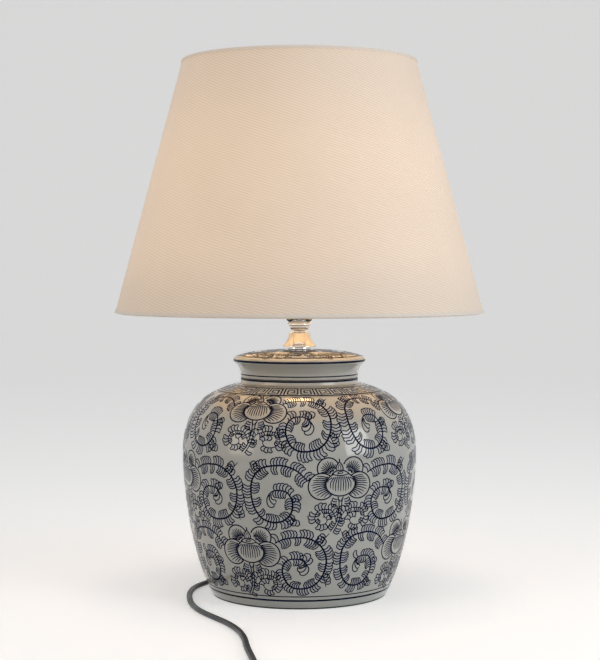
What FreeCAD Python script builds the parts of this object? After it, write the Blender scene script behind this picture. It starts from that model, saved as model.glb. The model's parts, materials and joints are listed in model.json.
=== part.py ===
import FreeCAD, Part
import math
import os

Vector = FreeCAD.Vector
UP = Vector(0, 0, 1)
ORIGIN = Vector(0, 0, 0)

# ---- Driving dimensions, millimetres. Origin on the lamp's axis, on the table. +Y is the back. ----

# Small gaps
thread_clearance = 0.05
seat_gap = 0.1
turning_gap = 0.3
face_gap = 0.3

# Porcelain jar
pad_thickness = 1.5
pad_width = 9.0
foot_radius = 95.5
foot_width = 11.0
foot_recess = 8.0
base_line_height = 7.0
base_line_radius = 98.5
belly_low_height = 62.0
belly_low_radius = 116.4
belly_mid_height = 105.0
belly_mid_radius = 123.6
belly_height = 147.0
belly_radius = 127.0
shoulder_low_drop = 48.6
shoulder_low_radius = 123.8
shoulder_high_drop = 20.6
shoulder_high_radius = 108.3
neck_line_height = 229.6
neck_line_radius = 66.0
collar_radius = 64.0
collar_height = 5.4
collar_step = 0.9
neck_edge = 1.5
jar_wall = 6.0
jar_floor = 6.0
neck_outer_radius = 57.5
neck_height = 12.0
ledge_drop = 8.5

# Lid
gasket_thickness = 0.8
gasket_inset = 0.6
lid_wall = 5.0
lid_ceiling_fall = 1.0
lid_skirt_gap = 1.0
lid_waist_rise = 5.2
lid_waist_radius = 64.0
lid_flare_rise = 16.7
lid_flare_radius = 71.4
lid_rim_rise = 19.8
lid_rim_radius = 71.9
lid_edge_rise = 22.8
lid_edge_radius = 68.4
lid_shoulder_rise = 27.8
lid_shoulder_radius = 46.0
lid_rise = 29.7
lid_flat_radius = 16.0
lid_dome_bow = 0.25
lid_shoulder_bow = 0.6
lid_rim_bow = 0.8
lid_flare_bow = 1.1

# Threaded tube and what it clamps
tube_radius = 5.0
tube_bore = 4.0
tube_overlap = 6.0
tube_end_overlap = 1.0
nut_flats = 14.0
nut_height = 3.0
washer_radius = 10.0
washer_thickness = 1.5
clamp_bar_overhang = 6.0
clamp_bar_width = 18.0
clamp_bar_thickness = 3.0

# Chrome column
check_ring_radius = 12.5
check_ring_height = 3.2
bell_radius = 18.7
bell_lip = 0.9
bell_height = 15.6
bell_waist_radius = 12.0
bell_waist_share = 0.66
bell_crown_radius = 8.2
bell_shell = 1.0
bell_crown_drop = 1.2
bell_crown_inset = 0.9
bell_flare_bow = 0.9
spacer_radius = 7.4
lower_ring_stem = 1.4
lower_ring_stem_radius = 6.1
lower_ring_radius = 11.0
lower_ring_height = 4.0
lower_ring_bow = 0.7
groove_radius = 7.6
groove_height = 1.2
upper_ring_radius = 12.9
upper_ring_height = 4.0
cup_foot_radius = 12.0
cup_radius = 19.6
cup_bowl_height = 9.5
cup_height = 24.0
cup_shell = 1.0
cup_bow = 1.3

# Lampholder
holder_base_thickness = 8.0
terminal_size = 6.0
terminal_offset = 9.0
terminal_screw_radius = 1.6
terminal_screw_length = 5.0
skirt_radius = 19.6
skirt_bore = 14.0
skirt_height = 31.0
skirt_flange_radius = 27.0
skirt_flange_thickness = 2.0
shade_ring_radius = 27.0
shade_ring_flange = 2.4
shade_ring_height = 9.0
shade_ring_grip = 3.0
contact_thickness = 0.8
contact_width = 5.0
side_contact_height = 9.0

# Bulb
bulb_length = 105.0
bulb_globe_radius = 30.0
bulb_cap_radius = 13.2
bulb_cap_height = 22.0
bulb_insulator_height = 3.0
bulb_contact_radius = 4.5
bulb_contact_height = 1.5
bulb_glass_wall = 0.8
bulb_neck_radius = 15.5
bulb_stem_radius = 5.0
bulb_stem_height = 26.0
filament_radius = 0.8
filament_height = 34.0
filament_circle = 9.0
filament_count = 4

# Shade
shade_drop = 15.2
shade_height = 272.0
shade_bottom_radius = 200.0
shade_top_radius = 127.0
hem_cloth = 0.5
hem_reach = 3.4
hem_tuck = 6.0
cover_thickness = 0.7
liner_thickness = 0.4
wire_radius = 1.5
fitter_thickness = 2.0
fitter_width = 8.0
arm_radius = 2.0
arm_shoulder = 34.0
arm_count = 3

# Cord
cord_diameter = 6.4
cord_exit_height = 26.0
cord_exit_drop = 21.0
grommet_length = 22.0
grommet_tip_radius = 4.4
grommet_collar_radius = 8.2
grommet_collar = 2.5
grommet_sleeve = 5.6
grommet_sleeve_overlap = 2.0
grommet_root_radius = 5.8
grommet_seat_depth = 0.6
core_radius = 1.1
lead_straight = 24.0
lead_stub = 0.5
lead_bends = [(46.0, 146.0), (20.0, 112.0), (0.0, 58.0)]

# In-line switch, its length along Y
switch_x = -36.0
switch_start_y = -387.0
switch_length = 62.0
switch_width = 25.0
switch_height = 17.0
switch_split = 9.0
switch_shell = 2.0
switch_corner = 5.0
switch_boss_radius = 2.6
switch_boss_sink = 0.8
switch_screw_offset = 19.0
switch_screw_radius = 1.4
switch_screw_rise = 0.5
switch_edge = 2.0
switch_cheek_width = 6.0
switch_cheek_thickness = 1.6
rocker_length = 17.0
rocker_width = 9.0
rocker_rise = 3.0
rocker_depth = 11.0
rocker_foot = 6.0
rocker_dip = 1.6
rocker_tilt = 7.0
rocker_axis_height = 11.5
rocker_pin_radius = 1.0
rocker_window_gap = 0.5
switch_contact_length = 14.0
switch_contact_width = 5.0
switch_contact_offset = 15.0
switch_contact_thickness = 1.6

# Coil of the spare cord
coil_turns = 2
coil_pitch = 7.0
coil_mean_radius = 35.0
coil_centre_x = 40.0
coil_centre_y = -456.0
coil_steps_per_turn = 4
tie_width = 9.0
tie_thickness = 0.8
tie_gap = 0.4
tie_angle = 125.0

# Plug
plug_length = 36.0
plug_width = 30.0
plug_nose_width = 35.0
plug_height = 13.7
plug_corner = 4.0
plug_relief_length = 22.0
plug_relief_tip = 4.4
plug_relief_root = 6.2
pin_radius = 2.0
pin_length = 19.0
pin_spacing = 18.6
pin_root = 6.0
pin_root_radius = 1.6

# ---- Heights that follow from the sizes ----

collar_top_height = neck_line_height + collar_height
gasket_height = collar_top_height
lid_base_height = gasket_height + gasket_thickness
lid_top_height = lid_base_height + lid_rise
ledge_height = neck_line_height - ledge_drop
clamp_bar_top = ledge_height
clamp_bar_low = clamp_bar_top - clamp_bar_thickness
washer_low = clamp_bar_low - washer_thickness
clamp_nut_low = washer_low - nut_height
tube_low = clamp_nut_low - tube_overlap
check_ring_top = lid_top_height + check_ring_height
lock_nut_top = check_ring_top + nut_height
bell_top = check_ring_top + bell_height
spacer_top = bell_top - bell_shell
lower_ring_top = bell_top + lower_ring_stem + lower_ring_height
upper_ring_low = lower_ring_top + groove_height
upper_ring_top = upper_ring_low + upper_ring_height
cup_low = upper_ring_top
cup_top = cup_low + cup_height
holder_nut_low = cup_low + cup_shell
tube_top = holder_nut_low + nut_height + tube_end_overlap
holder_base_top = cup_top
holder_base_low = holder_base_top - holder_base_thickness
skirt_low = cup_top
skirt_flange_top = skirt_low + skirt_flange_thickness
fitter_low = skirt_flange_top + face_gap
fitter_top = fitter_low + fitter_thickness
shade_ring_low = fitter_top + face_gap
bulb_low = holder_base_top + 2 * contact_thickness + face_gap
bulb_top = bulb_low + bulb_length
cap_low = bulb_low + bulb_contact_height + bulb_insulator_height
cap_top = cap_low + bulb_cap_height
globe_height = bulb_top - bulb_globe_radius
shade_bottom_height = fitter_low - shade_drop
shade_top_height = shade_bottom_height + shade_height

cord_radius = cord_diameter / 2
wire_hole = tube_radius + thread_clearance


# ---- Shape helpers ----

def at(radius, height):
    """A point of a turned outline, in the XZ plane."""
    return Vector(radius, 0, height)


def line(a, b):
    """A straight edge between two points."""
    return Part.LineSegment(a, b).toShape()


def arc(a, through, b):
    """A round edge through three points."""
    return Part.Arc(a, through, b).toShape()


def bulge(a, b, sagitta):
    """A round edge from a to b that bows to the left of the way by sagitta."""
    chord = b - a
    side = Vector(-chord.z, 0, chord.x).normalize()
    return arc(a, (a + b) * 0.5 + side * sagitta, b)


def chain(*points):
    """Straight edges through the points."""
    return [line(a, b) for a, b in zip(points, points[1:])]


def turned(edges):
    """A solid turned about Z from a closed outline in the XZ plane."""
    face = Part.Face(Part.Wire(edges))
    solid = face.revolve(ORIGIN, UP, 360)
    if solid.Volume < 0:
        solid.reverse()
    return solid


def ring(outer, inner, low, high):
    """A flat ring about the axis."""
    disc = Part.makeCylinder(outer, high - low, Vector(0, 0, low))
    return disc.cut(Part.makeCylinder(inner, high - low, Vector(0, 0, low)))


def hex_nut(low):
    """A thin hexagon nut about the axis, with its bore clear of the tube's thread."""
    corner = nut_flats / math.sqrt(3)
    corners = [Vector(corner * math.cos(k * math.pi / 3), corner * math.sin(k * math.pi / 3), low)
               for k in range(7)]
    prism = Part.Face(Part.makePolygon(corners)).extrude(Vector(0, 0, nut_height))
    return prism.cut(Part.makeCylinder(wire_hole, nut_height, Vector(0, 0, low)))


def rounded_box(centre, length_x, length_y, low, high, corner):
    """A block with its four upright edges rounded."""
    base = Vector(centre.x - length_x / 2, centre.y - length_y / 2, low)
    block = Part.makeBox(length_x, length_y, high - low, base)
    upright = [e for e in block.Edges if abs(e.Vertexes[0].Z - e.Vertexes[1].Z) > (high - low) / 2]
    return block.makeFillet(corner, upright)


def placed(shape, origin, direction):
    """The shape moved so that its own origin and +Z go to origin and direction."""
    copy = shape.copy()
    copy.Placement = FreeCAD.Placement(origin, FreeCAD.Rotation(UP, direction))
    return copy


def rod(radius, start, end):
    """A round rod from start to end."""
    return Part.makeCylinder(radius, start.distanceToPoint(end), start, end - start)


def bent_path(points):
    """Straight runs joined by tangent arcs, each as large as its two runs allow, and the least radius."""
    edges = []
    radii = []
    start = points[0]
    for before, corner, after in zip(points, points[1:], points[2:]):
        back = (before - corner).normalize()
        ahead = (after - corner).normalize()
        half_turn = (math.pi - back.getAngle(ahead)) / 2
        reach = 0.45 * min(corner.distanceToPoint(before), corner.distanceToPoint(after))
        radius = reach / math.tan(half_turn)
        radii.append(radius)
        first = corner + back * reach
        last = corner + ahead * reach
        inward = (back + ahead).normalize()
        middle = corner + inward * (radius / math.cos(half_turn) - radius)
        edges.append(line(start, first))
        edges.append(arc(first, middle, last))
        start = last
    edges.append(line(start, points[-1]))
    return edges, radii


def tube_along(edges, radius):
    """A round tube along a path of tangent edges."""
    path = Part.Wire(edges)
    start = path.Edges[0].valueAt(path.Edges[0].FirstParameter)
    direction = path.Edges[0].tangentAt(path.Edges[0].FirstParameter)
    section = Part.Wire(Part.makeCircle(radius, start, direction))
    return path.makePipeShell([section], True, False)


def cord_run(name, points):
    """The cord's tube through a route's points, with its radii and its volume against its length."""
    edges, radii = bent_path([Vector(*p) for p in points])
    solid = tube_along(edges, cord_radius)
    length = sum(e.Length for e in edges)
    share = solid.Volume / (math.pi * cord_radius ** 2 * length)
    shown = " ".join(f"{r:.0f}" for r in radii)
    print(f"{name}: length {length:.1f}, volume share {share:.4f}, radii {shown}")
    return solid


def tangent_arc(start, direction, end):
    """The round edge that leaves start along direction and reaches end."""
    chord = end - start
    across = chord - direction * chord.dot(direction)
    if across.Length < 1e-6:
        return line(start, end)
    across.normalize()
    radius = chord.Length ** 2 / (2 * chord.dot(across))
    centre = start + across * radius
    middle = ((start + end) * 0.5 - centre).normalize()
    return arc(start, centre + middle * radius, end)


def biarc(start, leaving, end, arriving):
    """Two tangent round edges from one point and direction to another."""
    chord = end - start
    both = leaving + arriving
    a = 2 * (1 - leaving.dot(arriving))
    b = 2 * chord.dot(both)
    c = -chord.dot(chord)
    if abs(a) < 1e-9:
        reach = -c / b
    else:
        reach = (-b + math.sqrt(b * b - 4 * a * c)) / (2 * a)
    joint = (start + leaving * reach + end - arriving * reach) * 0.5
    second = tangent_arc(end, arriving * -1, joint)
    return [tangent_arc(start, leaving, joint), second]


# ---- Jar ----

def jar_outline():
    """The curve of the jar's outer wall, from the base line to the neck line."""
    curve = Part.BSplineCurve()
    points = [at(base_line_radius, base_line_height),
              at(belly_low_radius, belly_low_height),
              at(belly_mid_radius, belly_mid_height),
              at(belly_radius, belly_height),
              at(shoulder_low_radius, neck_line_height - shoulder_low_drop),
              at(shoulder_high_radius, neck_line_height - shoulder_high_drop),
              at(neck_line_radius, neck_line_height)]
    leaving = Vector(0.45, 0, 1).normalize()
    arriving = Vector(-1, 0, 0.3).normalize()
    curve.interpolate(Points=points, InitialTangent=leaving, FinalTangent=arriving)
    inner_points = []
    for point in points:
        way = curve.tangent(curve.parameter(point))[0]
        inner_points.append(point + Vector(-way.z, 0, way.x) * jar_wall)
    inner = Part.BSplineCurve()
    inner.interpolate(Points=inner_points, InitialTangent=leaving, FinalTangent=arriving)
    return curve, inner


def wall_point(curve, height):
    """The point of the wall's curve at a height, and the outward normal there."""
    level = Part.LineSegment(at(0, height), at(2 * belly_radius, height))
    hit = curve.intersect(level)[0]
    point = at(hit.X, height)
    way = curve.tangent(curve.parameter(point))[0]
    return point, Vector(way.z, 0, -way.x)


def make_jar(outer, inner):
    """The hollow porcelain body with its foot ring, collar, neck and inner ledge."""
    start = outer.StartPoint
    end = outer.EndPoint
    neck_top = collar_top_height + neck_height
    edges = chain(at(0, pad_thickness), at(foot_radius, pad_thickness), start)
    edges.append(outer.toShape())
    edges += chain(end, at(collar_radius, neck_line_height + collar_step),
                   at(collar_radius, collar_top_height), at(neck_outer_radius, collar_top_height),
                   at(neck_outer_radius, neck_top - neck_edge),
                   at(neck_outer_radius - neck_edge, neck_top),
                   at(0, neck_top), at(0, pad_thickness))
    body = turned(edges)
    hollow_edges = [inner.toShape()]
    hollow_edges += chain(inner.EndPoint, at(0, inner.EndPoint.z), at(0, inner.StartPoint.z),
                          inner.StartPoint)
    hollow = turned(hollow_edges)
    floor_height = pad_thickness + foot_recess + jar_floor
    span = 3 * belly_radius
    keep = Part.makeBox(span, span, ledge_height - floor_height, Vector(-span / 2, -span / 2, floor_height))
    body = body.cut(hollow.common(keep))
    bore = neck_outer_radius - jar_wall
    body = body.cut(Part.makeCylinder(bore, neck_top - ledge_height + 1, Vector(0, 0, ledge_height - 1)))
    recess = Part.makeCylinder(foot_radius - foot_width, foot_recess, Vector(0, 0, pad_thickness))
    return body.cut(recess)


def make_lid():
    """The domed lid with its rounded rim, flared skirt and hollow underside."""
    low = lid_base_height
    skirt_inner = neck_outer_radius + lid_skirt_gap
    skirt_top = collar_top_height + neck_height + lid_skirt_gap
    ceiling = lid_top_height - lid_wall
    flat = at(lid_flat_radius, lid_top_height)
    shoulder = at(lid_shoulder_radius, low + lid_shoulder_rise)
    edge = at(lid_edge_radius, low + lid_edge_rise)
    rim = at(lid_rim_radius, low + lid_rim_rise)
    flare = at(lid_flare_radius, low + lid_flare_rise)
    waist = at(lid_waist_radius, low + lid_waist_rise)
    edges = [line(at(wire_hole, lid_top_height), flat), bulge(flat, shoulder, lid_dome_bow),
             bulge(shoulder, edge, lid_shoulder_bow), bulge(edge, rim, lid_rim_bow),
             bulge(rim, flare, lid_dome_bow), bulge(flare, waist, -lid_flare_bow)]
    edges += chain(waist, at(lid_waist_radius, low), at(skirt_inner, low), at(skirt_inner, skirt_top),
                   at(lid_shoulder_radius, ceiling - lid_ceiling_fall), at(wire_hole, ceiling),
                   at(wire_hole, lid_top_height))
    return turned(edges)


# ---- Chrome column ----

def make_bell():
    """The spun bell cap: a thin shell, flared and open below, with a hole in its crown."""
    low = check_ring_top
    waist = low + bell_height * bell_waist_share
    crown_radius = bell_waist_radius - bell_crown_inset
    lip = at(bell_radius, low + bell_lip)
    crown_edge = at(crown_radius, bell_top - bell_crown_drop)
    crown = at(bell_crown_radius, bell_top)
    outer = [line(at(bell_radius, low), lip), bulge(lip, at(bell_waist_radius, waist), bell_flare_bow),
             line(at(bell_waist_radius, waist), crown_edge), bulge(crown_edge, crown, -bell_shell / 2)]
    outer += chain(crown, at(wire_hole, bell_top), at(wire_hole, spacer_top))
    inner_crown = at(crown_radius - bell_shell, spacer_top)
    inner_waist = at(bell_waist_radius - bell_shell, waist)
    inner_lip = at(bell_radius - bell_shell, low + bell_lip)
    inner = chain(at(wire_hole, spacer_top), inner_crown, inner_waist)
    inner.append(bulge(inner_waist, inner_lip, -bell_flare_bow))
    inner += chain(inner_lip, at(bell_radius - bell_shell, low), at(bell_radius, low))
    return turned(outer + inner)


def make_lower_ring():
    """The lower ring: a short stem, a bowl and the stem of the groove above it."""
    foot = bell_top
    bowl = foot + lower_ring_stem
    top = lower_ring_top
    rim = top - lower_ring_bow
    edges = chain(at(wire_hole, foot), at(lower_ring_stem_radius, foot),
                  at(lower_ring_stem_radius, bowl))
    edges.append(bulge(at(lower_ring_stem_radius, bowl), at(lower_ring_radius, rim), -lower_ring_bow))
    edges += chain(at(lower_ring_radius, rim), at(lower_ring_radius - lower_ring_bow, top),
                   at(groove_radius, top), at(groove_radius, upper_ring_low),
                   at(wire_hole, upper_ring_low), at(wire_hole, foot))
    return turned(edges)


def make_upper_ring():
    """The upper ring, with a fully rounded edge."""
    half = upper_ring_height / 2
    straight = upper_ring_radius - half * 0.6
    low = upper_ring_low
    top = upper_ring_top
    edges = [line(at(wire_hole, low), at(straight, low))]
    edges.append(arc(at(straight, low), at(upper_ring_radius, low + half), at(straight, top)))
    edges += chain(at(straight, top), at(wire_hole, top), at(wire_hole, low))
    return turned(edges)


def make_cup():
    """The lampholder's cup: a bowl that goes over into a straight wall."""
    bowl_top = cup_low + cup_bowl_height
    inside = cup_radius - cup_shell
    edges = [line(at(wire_hole, cup_low), at(cup_foot_radius, cup_low))]
    edges.append(bulge(at(cup_foot_radius, cup_low), at(cup_radius, bowl_top), -cup_bow))
    edges += chain(at(cup_radius, bowl_top), at(cup_radius, cup_top), at(inside, cup_top),
                   at(inside, bowl_top))
    edges.append(bulge(at(inside, bowl_top), at(cup_foot_radius - cup_shell, cup_low + cup_shell), cup_bow))
    edges += chain(at(cup_foot_radius - cup_shell, cup_low + cup_shell), at(wire_hole, cup_low + cup_shell),
                   at(wire_hole, cup_low))
    return turned(edges)


# ---- Lampholder ----

def make_holder():
    """The lampholder's insert, contacts, terminals and skirt, and the shade ring."""
    base = Part.makeCylinder(cup_radius - cup_shell - seat_gap, holder_base_thickness - seat_gap,
                             Vector(0, 0, holder_base_low))
    terminals = []
    screws = []
    for side in (-1, 1):
        x = side * terminal_offset
        corner = Vector(x - terminal_size / 2, -terminal_size / 2, holder_base_low - terminal_size)
        hole = Vector(x, terminal_size / 2, holder_base_low - terminal_size / 2)
        block = Part.makeBox(terminal_size, terminal_size, terminal_size, corner)
        bore = rod(terminal_screw_radius, hole, hole - Vector(0, terminal_size / 2, 0))
        terminals.append(block.cut(bore))
        head = hole + Vector(0, terminal_screw_length - terminal_size / 2, 0)
        seat = hole - Vector(0, terminal_size / 2, 0)
        screws.append(rod(terminal_screw_radius - thread_clearance, seat, head))
    centre = Part.makeBox(3 * contact_width, contact_width, contact_thickness,
                          Vector(-contact_width / 2, -contact_width / 2, holder_base_top - seat_gap))
    button = Part.makeCylinder(contact_width / 2, contact_thickness + seat_gap,
                               Vector(0, 0, holder_base_top - seat_gap + contact_thickness))
    centre = centre.common(Part.makeCylinder(skirt_bore - seat_gap, 3 * contact_thickness,
                                             Vector(0, 0, holder_base_top - seat_gap))).fuse(button)
    leaf_depth = skirt_bore - bulb_cap_radius - turning_gap - seat_gap
    leaf = Part.makeBox(leaf_depth, contact_width, side_contact_height,
                        Vector(-skirt_bore + seat_gap, -contact_width / 2, holder_base_top - seat_gap))
    leaf = leaf.common(Part.makeCylinder(skirt_bore - seat_gap, side_contact_height,
                                         Vector(0, 0, holder_base_top - seat_gap)))
    skirt = ring(skirt_radius, skirt_bore, skirt_low, skirt_low + skirt_height)
    skirt = skirt.fuse(ring(skirt_flange_radius, skirt_bore, skirt_low, skirt_flange_top))
    grip = ring(skirt_radius + turning_gap + shade_ring_grip, skirt_radius + turning_gap,
                shade_ring_low, shade_ring_low + shade_ring_height)
    flange = ring(shade_ring_radius, skirt_radius + turning_gap, shade_ring_low,
                  shade_ring_low + shade_ring_flange)
    return {"holder_base": base, "terminal_blocks": Part.makeCompound(terminals),
            "terminal_screws": Part.makeCompound(screws), "centre_contact": centre, "side_contact": leaf,
            "holder_skirt": skirt.removeSplitter(), "shade_ring": grip.fuse(flange).removeSplitter()}


# ---- Bulb ----

def bulb_outline(inset):
    """The edges of the bulb's glass from its neck to its top, drawn in by inset."""
    radius = bulb_globe_radius - inset
    neck = bulb_neck_radius - inset
    neck_low = at(neck - 2.6, cap_top)
    shoulder = math.radians(-32)
    meet = at(radius * math.cos(shoulder), globe_height + radius * math.sin(shoulder))
    edges = [bulge(neck_low, at(neck + 0.6, cap_top + 12), 0.4),
             bulge(at(neck + 0.6, cap_top + 12), meet, 1.2),
             arc(meet, at(radius * math.cos(0.4), globe_height + radius * math.sin(0.4)),
                 at(0, globe_height + radius))]
    return edges, neck_low


def make_bulb():
    """The bulb: glass, cap, insulator, contact, stem and filaments."""
    outer, outer_low = bulb_outline(0)
    inner, inner_low = bulb_outline(bulb_glass_wall)
    shell = turned(outer + [line(at(0, bulb_top), at(0, cap_top)), line(at(0, cap_top), outer_low)])
    hollow = turned(inner + [line(at(0, bulb_top - bulb_glass_wall), at(0, cap_top)),
                             line(at(0, cap_top), inner_low)])
    glass = shell.cut(hollow)
    cap_edges = chain(at(6, cap_low), at(bulb_cap_radius - 2, cap_low), at(bulb_cap_radius, cap_low + 3),
                      at(bulb_cap_radius, cap_top - 0.2), at(bulb_cap_radius - 1, cap_top - 0.2),
                      at(bulb_cap_radius - 1, cap_low + 3.4), at(6, cap_low + 1), at(6, cap_low))
    insulator = turned(chain(at(0, cap_low), at(bulb_cap_radius - 3, cap_low),
                             at(bulb_contact_radius, cap_low - bulb_insulator_height),
                             at(0, cap_low - bulb_insulator_height), at(0, cap_low)))
    contact = Part.makeCylinder(bulb_contact_radius, bulb_contact_height, Vector(0, 0, bulb_low))
    stem_top = cap_top + bulb_stem_height
    stem = turned(chain(at(0, cap_low + 1), at(5.5, cap_low + 1), at(bulb_stem_radius, cap_top + 8),
                        at(2, stem_top), at(0, stem_top), at(0, cap_low + 1)))
    filaments = []
    for k in range(filament_count):
        turn = 2 * math.pi * k / filament_count
        foot = Vector(bulb_stem_radius * 0.6 * math.cos(turn), bulb_stem_radius * 0.6 * math.sin(turn),
                      cap_top + bulb_stem_height * 0.75)
        head = Vector(filament_circle * math.cos(turn), filament_circle * math.sin(turn),
                      foot.z + filament_height)
        filaments.append(rod(filament_radius, foot, head).cut(stem))
    return {"bulb_glass": glass, "bulb_cap": turned(cap_edges), "bulb_insulator": insulator,
            "bulb_contact": contact, "bulb_stem": stem, "bulb_filaments": Part.makeCompound(filaments)}


# ---- Shade ----

shade_slope = math.atan2(shade_bottom_radius - shade_top_radius, shade_height)
cover_depth = hem_cloth + seat_gap
liner_depth = cover_depth + cover_thickness + seat_gap
wire_depth = liner_depth + liner_thickness + seat_gap + wire_radius
tuck_depth = wire_depth + wire_radius + seat_gap


def shade_point(up, depth, from_top):
    """A point of the shade's wall: up along the slope from an edge, and depth in from the face."""
    if from_top:
        base = at(shade_top_radius, shade_top_height)
        along = Vector(math.sin(shade_slope), 0, -math.cos(shade_slope))
    else:
        base = at(shade_bottom_radius, shade_bottom_height)
        along = Vector(-math.sin(shade_slope), 0, math.cos(shade_slope))
    inward = Vector(-math.cos(shade_slope), 0, -math.sin(shade_slope))
    return base + along * up + inward * depth


def shade_skin(depth, thickness):
    """A cone of cloth at a depth in the wall, from hem to hem."""
    edge = hem_cloth + seat_gap
    corners = [shade_point(edge, depth, False), shade_point(edge, depth, True),
               shade_point(edge, depth + thickness, True), shade_point(edge, depth + thickness, False)]
    return turned(chain(*corners, corners[0]))


def make_hem(from_top):
    """A folded strip of cloth: a leg outside, a fold under the edge and a leg behind the wire."""
    corners = [shade_point(up, depth, from_top) for up, depth in (
        (0, 0), (hem_reach, 0), (hem_reach, hem_cloth), (hem_cloth, hem_cloth),
        (hem_cloth, tuck_depth), (hem_tuck, tuck_depth), (hem_tuck, tuck_depth + hem_cloth),
        (0, tuck_depth + hem_cloth))]
    return turned(chain(*corners, corners[0]))


def wire_centre(from_top):
    """The centre of the wire ring's section at an edge of the shade."""
    return shade_point(hem_cloth + seat_gap + wire_radius, wire_depth, from_top)


def make_wire(from_top):
    """A wire ring inside an edge of the shade."""
    centre = wire_centre(from_top)
    return Part.makeTorus(centre.x, wire_radius, Vector(0, 0, centre.z))


def make_shade():
    """The shade: cloth, liner, hems, wire rings, fitter ring and arms."""
    bore = skirt_radius + turning_gap
    outer = bore + fitter_width
    pieces = {"shade_cover": shade_skin(cover_depth, cover_thickness),
              "shade_liner": shade_skin(liner_depth, liner_thickness),
              "bottom_hem": make_hem(False), "top_hem": make_hem(True),
              "bottom_wire": make_wire(False), "top_wire": make_wire(True),
              "fitter_ring": ring(outer, bore, fitter_low, fitter_top)}
    seat = shade_point(hem_tuck / 2, tuck_depth + hem_cloth, False)
    tip_radius = seat.x - arm_radius * math.tan(shade_slope) - face_gap
    level = (fitter_low + fitter_top) / 2
    for k in range(arm_count):
        turn = math.radians(90 + 360 * k / arm_count)
        way = Vector(math.cos(turn), math.sin(turn), 0)
        route = [way * (outer - 0.2) + UP * level, way * arm_shoulder + UP * level,
                 way * tip_radius + UP * seat.z]
        arm = tube_along(bent_path(route)[0], arm_radius)
        pieces[f"carrier_arm_{k + 1}"] = arm.cut(pieces["fitter_ring"])
    return pieces


# ---- Cord ----

def exit_frame(outer):
    """Where the cord's centre line leaves the jar's wall, and its direction there."""
    point, normal = wall_point(outer, cord_exit_height)
    drop = math.radians(cord_exit_drop)
    return Vector(0, point.x, cord_exit_height), Vector(0, math.cos(drop), -math.sin(drop))


def make_grommet():
    """The tapered strain relief along its own +Z, with its collar at the origin."""
    bore = cord_radius + seat_gap
    sleeve = jar_wall + grommet_sleeve_overlap
    body = turned(chain(at(bore, -sleeve), at(grommet_sleeve, -sleeve), at(grommet_sleeve, 0),
                        at(grommet_collar_radius, 0), at(grommet_collar_radius, grommet_collar),
                        at(grommet_root_radius, grommet_collar + collar_step),
                        at(grommet_tip_radius, grommet_length), at(bore, grommet_length), at(bore, -sleeve)))
    return body, sleeve


# The route from the grommet to the switch, chosen by hand. The first point is the grommet's tip.
lead_route = [(0, 126.1, 18.3), (0, 147, 10.2), (-5, 168, 5.4), (-19, 187, 3.2), (-42, 195.5, 3.2),
              (-65, 189.5, 3.2), (-80.5, 170, 3.2), (-83, 143, 3.2), (-77, 115, 3.2), (-77, 88, 3.2),
              (-88, 62, 3.2), (-104, 38, 3.2), (-116, 10, 3.2), (-119, -20, 3.2), (-117, -52, 3.2),
              (-112, -83, 3.2), (-102, -113, 3.2), (-87, -141, 3.2), (-71, -169, 3.2), (-59, -200, 3.2),
              (-52, -233, 3.2), (-49, -267, 3.2), (-44, -301, 3.2), (-39, -334, 3.2), (-36, -362, 4.4),
              (-36, -387, 6)]
tail_route = [(-36, -449, 6), (-36, -465, 4.2), (-29.9, -479.8, 3.2), (-18.6, -491.1, 3.2),
              (-3.8, -497.2, 3.2), (15, -498.4, 3.2), (33.6, -498.1, 3.2)]
end_route = [(46.4, -498.1, 10.2), (66, -498, 8.6), (86, -495, 5), (104, -486, 3.6), (116, -470, 4.2),
             (121, -451, 6), (122, -432, 6.85)]


def coil_point(turns):
    """A point of the coil's centre line, counted in turns from its start, at the bottom of the view."""
    reverse = 0.25
    from_middle = turns - coil_turns
    away = abs(from_middle)
    inner = coil_mean_radius - coil_pitch * coil_turns / 2
    if away < reverse:
        step = away ** 2 / (2 * reverse) + reverse / 2
    else:
        step = away
    rise = min(max((from_middle + reverse) / (2 * reverse), 0), 1)
    height = cord_radius + coil_pitch * (3 * rise ** 2 - 2 * rise ** 3)
    radius = inner + coil_pitch * step
    angle = 2 * math.pi * turns - math.pi / 2
    return Vector(coil_centre_x + radius * math.cos(angle), coil_centre_y + radius * math.sin(angle), height)


def coil_heading(turns):
    """The direction of the coil's centre line."""
    small = 1e-4
    return (coil_point(turns + small) - coil_point(turns - small)).normalize()


def make_coil():
    """The coil: one tube in two layers, in and out again, with a straight diameter at each end."""
    steps = 2 * coil_turns * coil_steps_per_turn
    stops = [k / coil_steps_per_turn for k in range(steps + 1)]
    points = [coil_point(t) for t in stops]
    ways = [coil_heading(t) for t in stops]
    for way in (ways[0], ways[-1]):
        way.z = 0
        way.normalize()
    edges = [line(points[0] - ways[0] * cord_diameter, points[0])]
    for k in range(steps):
        edges += biarc(points[k], ways[k], points[k + 1], ways[k + 1])
    edges.append(line(points[-1], points[-1] + ways[-1] * cord_diameter))
    solid = tube_along(edges, cord_radius)
    length = sum(e.Length for e in edges)
    samples = Part.Wire(edges).discretize(Distance=1.5)
    apart = math.ceil(3 * cord_diameter / 1.5)
    gap = min(a.distanceToPoint(b) for i, a in enumerate(samples) for b in samples[i + apart:])
    share = solid.Volume / (math.pi * cord_radius ** 2 * length)
    print(f"cord_coil: length {length:.1f}, volume share {share:.4f}, least gap {gap - cord_diameter:.2f}")
    return solid


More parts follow.
